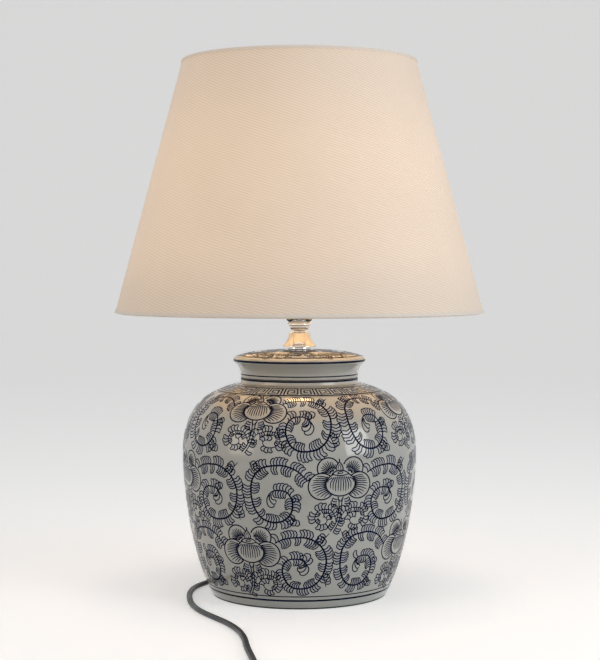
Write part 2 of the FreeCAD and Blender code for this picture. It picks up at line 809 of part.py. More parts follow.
def make_tie():
    """The tie: a flat loop round all the coil's turns, clear of the table."""
    inner = coil_mean_radius - coil_pitch * coil_turns / 2 - cord_radius
    outer = coil_mean_radius + coil_pitch * coil_turns / 2 + cord_radius
    middle = (inner + outer) / 2
    top = cord_diameter + coil_pitch
    half = (outer - inner) / 2 + tie_gap
    loop = Part.makeBox(2 * half + 2 * tie_thickness, tie_width, top + tie_gap + tie_thickness,
                        Vector(-half - tie_thickness, -tie_width / 2, 0))
    hole = Part.makeBox(2 * half, tie_width, top + tie_gap, Vector(-half, -tie_width / 2, 0))
    loop = loop.cut(hole)
    loop.translate(Vector(middle, 0, 0))
    loop.rotate(ORIGIN, UP, tie_angle)
    loop.translate(Vector(coil_centre_x, coil_centre_y, 0))
    return loop


# ---- In-line switch ----

def make_switch():
    """The in-line switch: two shell halves, rocker, rocker pin, contacts and screws."""
    centre = Vector(switch_x, switch_start_y - switch_length / 2, 0)
    block = rounded_box(centre, switch_width, switch_length, 0, switch_height, switch_corner)
    top_edges = [e for e in block.Edges if min(v.Z for v in e.Vertexes) > switch_height - 0.01]
    block = block.makeFillet(switch_edge, top_edges)
    inside = rounded_box(centre, switch_width - 2 * switch_shell, switch_length - 2 * switch_shell,
                         switch_shell, switch_height - switch_shell, switch_corner - switch_shell)
    shell = block.cut(inside)
    screw_length = switch_height - 2 * switch_shell
    posts = []
    screws = []
    for side in (-1, 1):
        boss_x = switch_width / 2 - switch_shell - switch_boss_radius + switch_boss_sink
        foot = centre + Vector(side * boss_x, side * switch_screw_offset, 0)
        posts.append(Part.makeCylinder(switch_boss_radius, switch_height - switch_shell, foot))
        screws.append(Part.makeCylinder(switch_screw_radius - thread_clearance, screw_length,
                                        foot + UP * switch_screw_rise))
    shell = shell.fuse(posts[0]).fuse(posts[1])
    for screw in screws:
        foot = screw.BoundBox.Center
        shell = shell.cut(Part.makeCylinder(switch_screw_radius, screw_length + switch_screw_rise,
                                            Vector(foot.x, foot.y, 0)))
    window_length = rocker_length + 2 * rocker_window_gap
    window_width = rocker_width + 2 * rocker_window_gap
    shell = shell.cut(Part.makeBox(window_width, window_length, 2 * switch_shell + 2,
                                   centre + Vector(-window_width / 2, -window_length / 2,
                                                   switch_height - 2 * switch_shell)))
    axis = centre + UP * rocker_axis_height
    wall_x = rocker_width / 2 + rocker_window_gap
    for side in (-1, 1):
        corner = Vector(side * wall_x - (switch_cheek_thickness if side < 0 else 0),
                        -switch_cheek_width / 2, switch_split)
        shell = shell.fuse(Part.makeBox(switch_cheek_thickness, switch_cheek_width,
                                        switch_height - switch_shell - switch_split, centre + corner))
    pin_half = wall_x + switch_cheek_thickness
    pin = rod(rocker_pin_radius, axis - Vector(pin_half, 0, 0), axis + Vector(pin_half, 0, 0))
    shell = shell.cut(rod(rocker_pin_radius + thread_clearance, axis - Vector(pin_half, 0, 0),
                          axis + Vector(pin_half, 0, 0)))
    span = 2 * switch_length
    lower = Part.makeBox(span, span, switch_split, centre - Vector(span / 2, span / 2, 0))
    upper = Part.makeBox(span, span, span, centre - Vector(span / 2, span / 2, -switch_split))
    base = shell.common(lower)
    cover = shell.common(upper)
    rocker = make_rocker(axis)
    rocker.rotate(axis, Vector(1, 0, 0), rocker_tilt)
    rocker = rocker.cut(rod(rocker_pin_radius, axis - Vector(span, 0, 0), axis + Vector(span, 0, 0)))
    contacts = []
    for side in (-1, 1):
        corner = centre + Vector(-switch_contact_width / 2,
                                 side * switch_contact_offset - switch_contact_length / 2, switch_shell)
        contacts.append(Part.makeBox(switch_contact_width, switch_contact_length,
                                     switch_contact_thickness, corner))
    return {"switch_base": base, "switch_cover": cover, "switch_rocker": rocker, "rocker_pin": pin,
            "switch_contacts": Part.makeCompound(contacts), "switch_screws": Part.makeCompound(screws)}


def make_rocker(axis):
    """The rocker: a curved key about its pin, with a shallow dip in its top."""
    half = rocker_length / 2
    top = switch_height + rocker_rise - rocker_axis_height
    low = rocker_depth - top
    a = Vector(0, -half, top)
    b = Vector(0, half, top)
    foot_a = Vector(0, -rocker_foot / 2, -low)
    foot_b = Vector(0, rocker_foot / 2, -low)
    profile = [arc(a, Vector(0, 0, top - rocker_dip), b), line(b, foot_b), line(foot_b, foot_a),
               line(foot_a, a)]
    key = Part.Face(Part.Wire(profile)).extrude(Vector(rocker_width, 0, 0))
    key.translate(axis - Vector(rocker_width / 2, 0, 0))
    return key


# ---- Plug ----

def make_plug():
    """The flat two-pin plug on its strain relief, along its own +Y, with the cord's end at the origin."""
    relief = turned(chain(at(0, 0), at(plug_relief_tip, 0), at(plug_relief_root, plug_relief_length),
                          at(0, plug_relief_length), at(0, 0)))
    relief.rotate(ORIGIN, Vector(1, 0, 0), -90)
    y0 = plug_relief_length
    y1 = y0 + plug_length
    outline = [Vector(-plug_width / 4, y0, 0), Vector(plug_width / 4, y0, 0),
               Vector(plug_width / 2, y0 + plug_length / 3, 0), Vector(plug_nose_width / 2, y1, 0),
               Vector(-plug_nose_width / 2, y1, 0), Vector(-plug_width / 2, y0 + plug_length / 3, 0)]
    outline.append(outline[0])
    body = Part.Face(Part.makePolygon(outline)).extrude(Vector(0, 0, plug_height))
    body.translate(Vector(0, 0, -plug_height / 2))
    upright = [e for e in body.Edges if abs(e.Vertexes[0].Z - e.Vertexes[1].Z) > plug_height / 2]
    body = body.makeFillet(plug_corner / 2, upright)
    flat = [e for e in body.Edges if e.BoundBox.ZLength < 0.01 and e.BoundBox.YMin < y1 - 0.01]
    body = body.makeFillet(plug_corner * 0.4, flat)
    pins = []
    for side in (-1, 1):
        face = Vector(side * pin_spacing / 2, y1, 0)
        tip = face + Vector(0, pin_length, 0)
        root = face - Vector(0, pin_root, 0)
        pin = rod(pin_radius, face, tip)
        tip_edge = [e for e in pin.Edges if e.BoundBox.YMin > tip.y - 0.01]
        pin = pin.makeFillet(pin_radius * 0.6, tip_edge)
        pins.append(pin.fuse(rod(pin_root_radius, root, face)))
        body = body.cut(rod(pin_root_radius + thread_clearance, root, face))
    return {"plug_relief": relief, "plug_body": body, "plug_pins": Part.makeCompound(pins)}


# ---- Assembly ----

def build():
    """Every piece of the lamp, by its node's name."""
    outer, inner = jar_outline()
    pieces = {}
    exit_point, exit_way = exit_frame(outer)
    jar = make_jar(outer, inner)
    hole = rod(grommet_sleeve + thread_clearance, exit_point - exit_way * 4 * jar_wall,
               exit_point + exit_way * 4 * jar_wall)
    seat_start = exit_point - exit_way * grommet_seat_depth
    spot = rod(grommet_collar_radius + seat_gap, seat_start, exit_point + exit_way * 4 * jar_wall)
    pieces["jar_body"] = jar.cut(hole).cut(spot)
    grommet, sleeve = make_grommet()
    pieces["cord_grommet"] = placed(grommet, seat_start, exit_way)
    pieces["foot_pad"] = ring(foot_radius - 1, foot_radius - 1 - pad_width, 0, pad_thickness)
    pieces["lid_gasket"] = ring(collar_radius - gasket_inset, neck_outer_radius + seat_gap,
                                gasket_height, lid_base_height)
    pieces["jar_lid"] = make_lid()

    bar_length = 2 * (neck_outer_radius - jar_wall + clamp_bar_overhang)
    bar = Part.makeBox(bar_length, clamp_bar_width, clamp_bar_thickness,
                       Vector(-bar_length / 2, -clamp_bar_width / 2, clamp_bar_low))
    pieces["clamp_bar"] = bar.cut(Part.makeCylinder(wire_hole, clamp_bar_thickness,
                                                    Vector(0, 0, clamp_bar_low)))
    pieces["clamp_washer"] = ring(washer_radius, wire_hole, washer_low, clamp_bar_low)
    pieces["clamp_nut"] = hex_nut(clamp_nut_low)
    pieces["threaded_tube"] = ring(tube_radius, tube_bore, tube_low, tube_top)
    pieces["check_ring"] = ring(check_ring_radius, wire_hole, lid_top_height, check_ring_top)
    pieces["lock_nut"] = hex_nut(check_ring_top)
    pieces["bell_spacer"] = ring(spacer_radius, wire_hole, lock_nut_top, spacer_top)
    pieces["bell_cap"] = make_bell()
    pieces["lower_ring"] = make_lower_ring()
    pieces["upper_ring"] = make_upper_ring()
    pieces["holder_cup"] = make_cup()
    pieces["holder_nut"] = hex_nut(holder_nut_low)
    pieces.update(make_holder())
    pieces.update(make_bulb())
    pieces.update(make_shade())

    inside = seat_start - exit_way * sleeve
    lead_top = tube_top + lead_stub
    lead = [inside + exit_way * (sleeve + grommet_length), inside - exit_way * lead_straight]
    lead += [Vector(0, out, tube_low - drop) for out, drop in lead_bends]
    lead.append(Vector(0, 0, lead_top))
    pieces["inner_lead"] = cord_run("inner_lead", [(p.x, p.y, p.z) for p in lead])
    cores = []
    for side in (-1, 1):
        start = Vector(side * core_radius * 1.2, 0, lead_top)
        end = Vector(side * (terminal_offset - 1), 0, holder_base_low - terminal_size)
        cores.append(rod(core_radius, start, end))
    pieces["lead_cores"] = Part.makeCompound(cores)

    pieces["cord_lead"] = cord_run("cord_lead", lead_route)
    pieces["cord_tail"] = cord_run("cord_tail", tail_route)
    pieces["cord_coil"] = make_coil()
    pieces["cord_end"] = cord_run("cord_end", end_route)
    pieces["coil_tie"] = make_tie()
    pieces.update(make_switch())
    plug_start = Vector(*end_route[-1])
    for name, shape in make_plug().items():
        shape.translate(plug_start)
        pieces[name] = shape
    return pieces


def write(pieces):
    """One STEP file for each node."""
    os.makedirs("parts", exist_ok=True)
    for name, shape in pieces.items():
        if not shape.isValid():
            print("not valid:", name)
        shape.exportStep(os.path.join("parts", f"{name}.step"))
    print(len(pieces), "nodes")


write(build())
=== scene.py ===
import bpy
import json
import math
import random
import numpy as np
from mathutils import Matrix, Vector


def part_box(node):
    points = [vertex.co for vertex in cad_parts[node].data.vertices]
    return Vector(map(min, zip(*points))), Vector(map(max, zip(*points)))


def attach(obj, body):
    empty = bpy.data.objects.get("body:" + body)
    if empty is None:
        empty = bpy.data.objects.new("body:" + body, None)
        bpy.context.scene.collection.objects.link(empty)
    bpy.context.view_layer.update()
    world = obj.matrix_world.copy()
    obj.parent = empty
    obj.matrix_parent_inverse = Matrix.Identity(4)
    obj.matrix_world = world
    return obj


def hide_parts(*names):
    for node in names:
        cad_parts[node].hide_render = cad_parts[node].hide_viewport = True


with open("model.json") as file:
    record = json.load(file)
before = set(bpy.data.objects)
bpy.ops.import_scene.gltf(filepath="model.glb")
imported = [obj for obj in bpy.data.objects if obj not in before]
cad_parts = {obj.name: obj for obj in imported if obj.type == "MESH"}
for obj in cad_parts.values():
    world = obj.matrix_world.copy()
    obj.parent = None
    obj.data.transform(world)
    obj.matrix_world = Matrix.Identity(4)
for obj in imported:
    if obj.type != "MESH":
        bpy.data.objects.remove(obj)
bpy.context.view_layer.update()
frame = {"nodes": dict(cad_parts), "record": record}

MM = 0.001
FRONT = -math.pi / 2

# ---- Sizes, millimetres. Origin on the lamp's axis, on the table. -Y is the front. ----

# Jar
pad_top = 1.5
foot_radius = 95.5
foot_width = 11.0
foot_recess = 8.0
jar_wall = 6.0
jar_points = [(98.5, 7.0), (116.4, 62.0), (123.6, 105.0), (127.0, 147.0), (123.8, 181.0), (108.3, 209.0),
              (66.0, 229.6)]
jar_leaving = (0.45, 1.0)
jar_arriving = (-1.0, 0.3)
ledge_height = 221.1
neck_top = 247.0
neck_radius = 57.5
collar_radius = 64.0
collar_top = 235.0

# Lid
lid_base = 235.8
lid_waist = (64.0, 241.0)
lid_flare = (71.4, 252.5)
lid_rim = (71.9, 255.6)
lid_edge = (68.4, 258.6)
lid_shoulder = (46.0, 263.6)
lid_flat = (16.0, 265.5)
lid_skirt_bore = 58.5
lid_skirt_top = 248.0
lid_wall = 5.0
tube_hole = 5.05

# Chrome column
check_ring_radius = 12.5
bell_low = 268.7
bell_radius = 18.7
bell_waist = (12.0, 279.0)
bell_crown = (8.2, 284.3)
bell_shell = 1.0
bell_lip = 0.9
lower_ring_stem = (6.1, 285.7)
lower_ring_radius = 11.0
lower_ring_top = 289.7
lower_ring_edge = 0.7
groove_radius = 7.6
upper_ring_low = 290.9
upper_ring_radius = 12.9
bead = 1.2
cup_low = 294.9
cup_foot_radius = 12.0
cup_radius = 19.6
cup_bowl_top = 304.4
cup_top = 318.9
cup_shell = 1

# Shade
shade_low = 306.0
shade_high = 578.0
shade_bottom_radius = 200.0
shade_top_radius = 127.0
hem_reach = 3.4
hem_cloth = 0.5
hem_tuck = 6.0
cover_depth = 0.6
cover_thickness = 0.7
liner_depth = 1.4
liner_thickness = 0.4
wire_depth = 3.4
wire_radius = 1.5
tuck_depth = 5.0

# Cord: a flat twin, laid on its wide side
cord_width = 6.4
cord_height = 5.0
cord_lie = cord_height / 2
coil_centre = (40.0, -456.0)
coil_radius = 35.0
coil_pitch = 7.0
coil_rise = 5.2
coil_half_turns = 2
coil_points_per_turn = 24
tie_half = 7.7
tie_gap = 0.3
tie_thickness = 0.8
tie_corner = 3.0
tie_inner_corner = 2.2
tie_width = 9.0
tie_angle = math.radians(125)

# Camera
focal_pixels = 1600.0
picture_height = 660.0
sensor_size = 36.0
camera_place = (0.0007, -1.742, 0.352)
camera_pitch = math.radians(2.15)


# ---- Modelling helpers ----

least_turn = math.radians(20)
least_room = 0.02


def deselect():
    """Leaves edit mode and selects nothing."""
    if bpy.context.object and bpy.context.object.mode != "OBJECT":
        bpy.ops.object.mode_set(mode="OBJECT")
    bpy.ops.object.select_all(action="DESELECT")


def activate(piece):
    """Selects one piece and makes it active."""
    deselect()
    piece.select_set(True)
    bpy.context.view_layer.objects.active = piece


def new_piece(name):
    """The primitive that was just added, under its own name."""
    piece = bpy.context.object
    piece.name = name
    piece.data.name = name
    return piece


def link_mesh(name, vertices, faces):
    """A new piece from vertices in metres and faces."""
    mesh = bpy.data.meshes.new(name)
    mesh.from_pydata(vertices, [], faces)
    piece = bpy.data.objects.new(name, mesh)
    bpy.context.scene.collection.objects.link(piece)
    return piece


def edit(action="SELECT"):
    """Goes to edit mode and selects everything or nothing."""
    bpy.ops.object.mode_set(mode="EDIT")
    bpy.ops.mesh.select_all(action=action)


def face_outwards():
    """Turns every face of the edited mesh outwards and leaves edit mode."""
    bpy.ops.mesh.select_all(action="SELECT")
    bpy.ops.mesh.normals_make_consistent(inside=False)
    bpy.ops.object.mode_set(mode="OBJECT")


def smooth(piece, angle=35):
    """Smooth shading, with edges sharper than the angle kept."""
    activate(piece)
    bpy.ops.object.shade_smooth_by_angle(angle=math.radians(angle))


def dress(piece, slot, body="root", nodes=(), material=None):
    """Gives a piece the slot's material or its own, puts it under its body and hides the nodes that it stands
    for.
    """
    piece.data.materials.clear()
    piece.data.materials.append(material or finishes[slot])
    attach(piece, body)
    if nodes:
        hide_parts(*nodes)
    return piece


def unit(vector):
    return np.array(vector, float) / np.linalg.norm(vector)


def left_of(way):
    """The way a quarter turn to the left."""
    return np.array((-way[1], way[0]))


def heading(turn, side=1):
    """The way at an angle, or its mirror image for side -1."""
    return np.array((side * math.cos(turn), math.sin(turn)))


def distances(points):
    """How far along their line the points lie."""
    return np.concatenate([[0], np.cumsum(np.linalg.norm(np.diff(points, axis=0), axis=1))])


def at(stops, gone, points):
    """The places on a line of points at some distances along it."""
    return np.column_stack([np.interp(stops, gone, points[:, k]) for k in (0, 1)])


def bow(start, end, sagitta, steps):
    """The points after start of a round edge to end, bowed to the left of the way by sagitta."""
    a = np.array(start, float)
    b = np.array(end, float)
    chord = np.linalg.norm(b - a)
    half = 2 * math.atan2(2 * abs(sagitta), chord)
    radius = chord / 2 / math.sin(half)
    along = (b - a) / chord
    left = left_of(along) * math.copysign(1, sagitta)
    centre = (a + b) / 2 - left * radius * math.cos(half)
    turns = [-half + 2 * half * k / steps for k in range(1, steps + 1)]
    return [tuple(centre + radius * (left * math.cos(turn) + along * math.sin(turn))) for turn in turns]


def eased(outline, reach, closed=True):
    """The outline with each sharp corner rounded by three points."""
    count = len(outline)
    points = []
    for i, corner in enumerate(outline):
        here = np.array(corner, float)
        if not closed and i in (0, count - 1):
            points.append(corner)
            continue
        before = np.array(outline[i - 1], float)
        after = np.array(outline[(i + 1) % count], float)
        into = here - before
        out = after - here
        turn = abs(math.atan2(into[0] * out[1] - into[1] * out[0], into @ out))
        room = min(reach, 0.4 * np.linalg.norm(into), 0.4 * np.linalg.norm(out))
        if turn < least_turn or room < least_room:
            points.append(corner)
            continue
        first = here - unit(into) * room
        last = here + unit(out) * room
        points += [tuple(first), tuple(0.25 * first + 0.5 * here + 0.25 * last), tuple(last)]
    return points


def through(points, leaving, arriving, step):
    """Evenly spaced points of the smooth curve through the points, with its ways at both ends."""
    points = np.array(points, float)
    spans = np.linalg.norm(np.diff(points, axis=0), axis=1)
    count = len(points)
    matrix = np.zeros((count, count))
    right = np.zeros((count, 2))
    matrix[0, 0] = matrix[-1, -1] = 1
    right[0] = unit(leaving)
    right[-1] = unit(arriving)
    for i in range(1, count - 1):
        a, b = spans[i - 1], spans[i]
        matrix[i, i - 1:i + 2] = (b, 2 * (a + b), a)
        right[i] = 3 * (a * (points[i + 1] - points[i]) / b + b * (points[i] - points[i - 1]) / a)
    ways = np.linalg.solve(matrix, right)
    fine = []
    for i, span in enumerate(spans):
        for t in np.linspace(0, 1, 40, endpoint=False):
            fine.append((1 + 2 * t) * (1 - t) ** 2 * points[i] + t * (1 - t) ** 2 * span * ways[i]
                        + t * t * (3 - 2 * t) * points[i + 1] + t * t * (t - 1) * span * ways[i + 1])
    fine.append(points[-1])
    fine = np.array(fine)
    gone = distances(fine)
    return at(np.linspace(0, gone[-1], max(2, round(gone[-1] / step) + 1)), gone, fine)


def flowing(corners, step):
    """The smooth curve through the corners that leaves and arrives along its first and last legs."""
    line = np.array(corners)
    return through(line, line[1] - line[0], line[-1] - line[-2], step)


def turned(name, outline, segments=192):
    """A closed outline of (radius, height), spun about the lamp's axis. It may start and end on the axis."""
    deselect()
    bpy.ops.mesh.primitive_circle_add(vertices=len(outline), radius=foot_radius * MM)
    piece = new_piece(name)
    for vertex, (radius, height) in zip(piece.data.vertices, outline):
        vertex.co = (0, -radius * MM, height * MM)
    bpy.ops.object.mode_set(mode="EDIT")
    if outline[0][0] == 0 and outline[-1][0] == 0:
        bpy.ops.mesh.select_mode(type="EDGE")
        bpy.ops.mesh.select_all(action="DESELECT")
        bpy.ops.object.mode_set(mode="OBJECT")
        for edge in piece.data.edges:
            edge.select = set(edge.vertices) == {0, len(outline) - 1}
        bpy.ops.object.mode_set(mode="EDIT")
        bpy.ops.mesh.delete(type="EDGE")
        bpy.ops.mesh.select_mode(type="VERT")
    bpy.ops.mesh.select_all(action="SELECT")
    bpy.ops.mesh.spin(steps=segments, angle=2 * math.pi, center=(0, 0, 0), axis=(0, 0, 1))
    bpy.ops.mesh.select_all(action="SELECT")
    bpy.ops.mesh.remove_doubles(threshold=1e-6)
    face_outwards()
    return piece


# ---- Shader groups ----

black = (0, 0, 0, 1)
white = (1, 1, 1, 1)


def new_group(name, inputs, outputs):
    """An empty shader group with named sockets, each a colour or a number, and its inner ends."""
    group = bpy.data.node_groups.new(name, "ShaderNodeTree")
    for label, value in inputs.items():
        kind = "NodeSocketColor" if isinstance(value, tuple) else "NodeSocketFloat"
        group.interface.new_socket(name=label, in_out="INPUT", socket_type=kind).default_value = value
    for label in outputs:
        kind = "NodeSocketColor" if label == "Color" else "NodeSocketFloat"
        group.interface.new_socket(name=label, in_out="OUTPUT", socket_type=kind)
    return group, group.nodes.new("NodeGroupInput").outputs, group.nodes.new("NodeGroupOutput").inputs


def give(tree, socket, value):
    """Sets a socket to a number or a colour, or links it to another socket."""
    if isinstance(value, (int, float)):
        socket.default_value = value
    elif isinstance(value, tuple):
        socket.default_value = (*value, 1)
    else:
        tree.links.new(value, socket)


def math_node(tree, operation, first, second=0.0):
    """A Math node's output."""
    node = tree.nodes.new("ShaderNodeMath")
    node.operation = operation
    give(tree, node.inputs[0], first)
    give(tree, node.inputs[1], second)
    return node.outputs[0]


def weighed(tree, first, share, second, other_share):
    """The sum of two sockets, each with its own share."""
    return math_node(tree, "ADD", math_node(tree, "MULTIPLY", first, share),
                     math_node(tree, "MULTIPLY", second, other_share))


def noise_node(tree, vector, scale, detail):
    """A Noise Texture's value."""
    node = tree.nodes.new("ShaderNodeTexNoise")
    for label, value in (("Vector", vector), ("Scale", scale), ("Detail", detail)):
        give(tree, node.inputs[label], value)
    return node.outputs["Fac"]


def seen_rays(tree):
    """1 for the rays by which the background is seen, straight or in a surface, and 0 for its light."""
    path = tree.nodes.new("ShaderNodeLightPath").outputs
    straight_or_glossy = math_node(tree, "MAXIMUM", path["Is Camera Ray"], path["Is Glossy Ray"])
    return math_node(tree, "MAXIMUM", straight_or_glossy, path["Is Transmission Ray"])


def mixed(tree, factor, first, second, blend="MIX"):
    """A Mix node's colour."""
    mix = tree.nodes.new("ShaderNodeMix")
    mix.data_type = "RGBA"
    mix.blend_type = blend
    for label, value in (("Factor", factor), ("A", first), ("B", second)):
        give(tree, mix.inputs[label], value)
    return mix.outputs["Result"]


def spread(tree, value, low, high, ends=(0.0, 1.0)):
    """A Map Range node's result, from low and high to the two ends."""
    node = tree.nodes.new("ShaderNodeMapRange")
    labels = ("Value", "From Min", "From Max", "To Min", "To Max")
    for label, given in zip(labels, (value, low, high, *ends)):
        give(tree, node.inputs[label], given)
    return node.outputs["Result"]


def object_place(tree):
    """The point's place in the object."""
    return tree.nodes.new("ShaderNodeTexCoord").outputs["Object"]


def separated(tree):
    """The X, Y and Z of the point's place."""
    parts = tree.nodes.new("ShaderNodeSeparateXYZ")
    tree.links.new(object_place(tree), parts.inputs[0])
    return parts.outputs


def make_mottle():
    """Slow drifts between two colours, as in a glaze, a cloth or a moulding."""
    group, given, made = new_group("mottle", {"Scale": 20.0, "Dark": black, "Light": white},
                                   ("Color", "Drift"))
    drift = spread(group, noise_node(group, object_place(group), given["Scale"], 3.0), 0.32, 0.68)
    group.links.new(mixed(group, drift, given["Dark"], given["Light"]), made["Color"])
    group.links.new(drift, made["Drift"])
    return group


def make_grain():
    """A fine surface grain, and the roughness that goes with it."""
    group, given, made = new_group("surface_grain", {"Scale": 900.0, "Smooth": 0.2, "Rough": 0.4},
                                   ("Height", "Roughness"))
    place = object_place(group)
    fine = noise_node(group, place, given["Scale"], 2.0)
    wide = noise_node(group, place, 35.0, 3.0)
    blend = weighed(group, fine, 0.35, wide, 0.65)
    group.links.new(fine, made["Height"])
    group.links.new(spread(group, blend, 0.35, 0.65, (given["Smooth"], given["Rough"])), made["Roughness"])
    return group


def make_twill():
    """Slanting ribs that wind round the lamp's axis, crossed by fine threads; the colour is darker in the rib
    valleys, painted shade mixed with a random slub tone.
    """
    group, given, made = new_group("twill", {"Starts": 115.0, "Rise": 0.0027, "Valley": black,
                                             "Ridge": white}, ("Color", "Height", "Drift"))
    across, deep, up = separated(group)
    turn = math_node(group, "MULTIPLY", math_node(group, "ARCTAN2", deep, across), given["Starts"])
    climb = math_node(group, "DIVIDE", math_node(group, "MULTIPLY", up, 2 * math.pi), given["Rise"])
    rib = math_node(group, "SINE", math_node(group, "ADD", turn, climb))
    thread = math_node(group, "SINE", math_node(group, "MULTIPLY", turn, 6.0))
    height = math_node(group, "ADD", weighed(group, rib, 0.42, thread, 0.08), 0.5)
    slub = noise_node(group, object_place(group), 14.0, 4.0)
    # painted shade: the colour darkens where the ribs dip, mixed with a random slub tone
    shade = weighed(group, height, 0.7, slub, 0.3)
    group.links.new(mixed(group, shade, given["Valley"], given["Ridge"]), made["Color"])
    group.links.new(height, made["Height"])
    group.links.new(slub, made["Drift"])
    return group


mottle = make_mottle()
surface_grain = make_grain()
twill = make_twill()


# ---- Materials ----

class Finish:
    """A node material that is being put together round its shader."""

    def __init__(self, name, **constants):
        self.material = bpy.data.materials.new(name)
        self.material.use_nodes = True
        self.tree = self.material.node_tree
        self.shader = self.tree.nodes["Principled BSDF"]
        for label, value in constants.items():
            give(self.tree, self.shader.inputs[label.replace("_", " ")], value)

    def group(self, kind, **values):
        """A shader group with its own values."""
        node = self.tree.nodes.new("ShaderNodeGroup")
        node.node_tree = kind
        for label, value in values.items():
            give(self.tree, node.inputs[label], value)
        return node.outputs

    def feed(self, output, socket):
        self.tree.links.new(output, self.shader.inputs[socket])

    def relief(self, height, distance):
        """A bump of a height in millimetres."""
        bump = self.tree.nodes.new("ShaderNodeBump")
        bump.inputs["Distance"].default_value = distance * MM
        self.tree.links.new(height, bump.inputs["Height"])
        self.feed(bump.outputs["Normal"], "Normal")


def surface(name, dark, light, scale, grain, roughness, relief, **constants):
    """A material whose colour drifts between two tones, with a grain in its relief and its roughness."""
    finish = Finish(name, **constants)
    finish.feed(finish.group(mottle, Scale=scale, Dark=dark, Light=light)["Color"], "Base Color")
    fine = finish.group(surface_grain, Scale=grain, Smooth=roughness[0], Rough=roughness[1])
    finish.feed(fine["Roughness"], "Roughness")
    if relief:
        finish.relief(fine["Height"], relief)
    return finish.material


def cloth(name, shaded_valley, ridge, starts, rise, painted_glow):
    """Satin twill with a painted glow: a warm emission, strongest round the bulb's height and fading to both
    edges, stands in for the bulb's light through the cloth.
    """
    finish = Finish(name, Roughness=0.62, Sheen_Weight=0.35, Sheen_Roughness=0.4, Emission_Strength=1.0)
    weave = finish.group(twill, Starts=starts, Rise=rise, Valley=shaded_valley, Ridge=ridge)
    finish.feed(weave["Color"], "Base Color")
    finish.relief(weave["Height"], 0.12)
    tree = finish.tree
    # painted glow: a warm emission colour ramp by height on the cloth
    ramp = tree.nodes.new("ShaderNodeValToRGB")
    ramp.color_ramp.interpolation = "EASE"
    heights = (shade_low, 380.0, 470.0, shade_high)
    for k, (height, strength) in enumerate(zip(heights, (0.55, 0.9, 1.0, 0.75))):
        place = (height - shade_low) / (shade_high - shade_low)
        stop = ramp.color_ramp.elements[k] if k < 2 else ramp.color_ramp.elements.new(place)
        stop.position = place
        stop.color = (*(c * strength for c in painted_glow), 1)
    climb = math_node(tree, "DIVIDE", math_node(tree, "SUBTRACT", separated(tree)["Z"], shade_low * MM),
                      (shade_high - shade_low) * MM)
    tree.links.new(climb, ramp.inputs["Fac"])
    # the painted glow is dimmed a little in the weave's valleys, as painted shade
    threads = finish.group(twill, Starts=starts, Rise=rise, Valley=(0.82, 0.8, 0.78), Ridge=(1.0, 1.0, 1.0))
    finish.feed(mixed(tree, 1.0, ramp.outputs["Color"], threads["Color"], "MULTIPLY"), "Emission Color")
    return finish.material


def metal(name, dark, light, smooth, rough, grain=300.0, relief=0.0, **constants):
    return surface(name, dark, light, 30.0, grain, (smooth, rough), relief, Metallic=1.0, **constants)


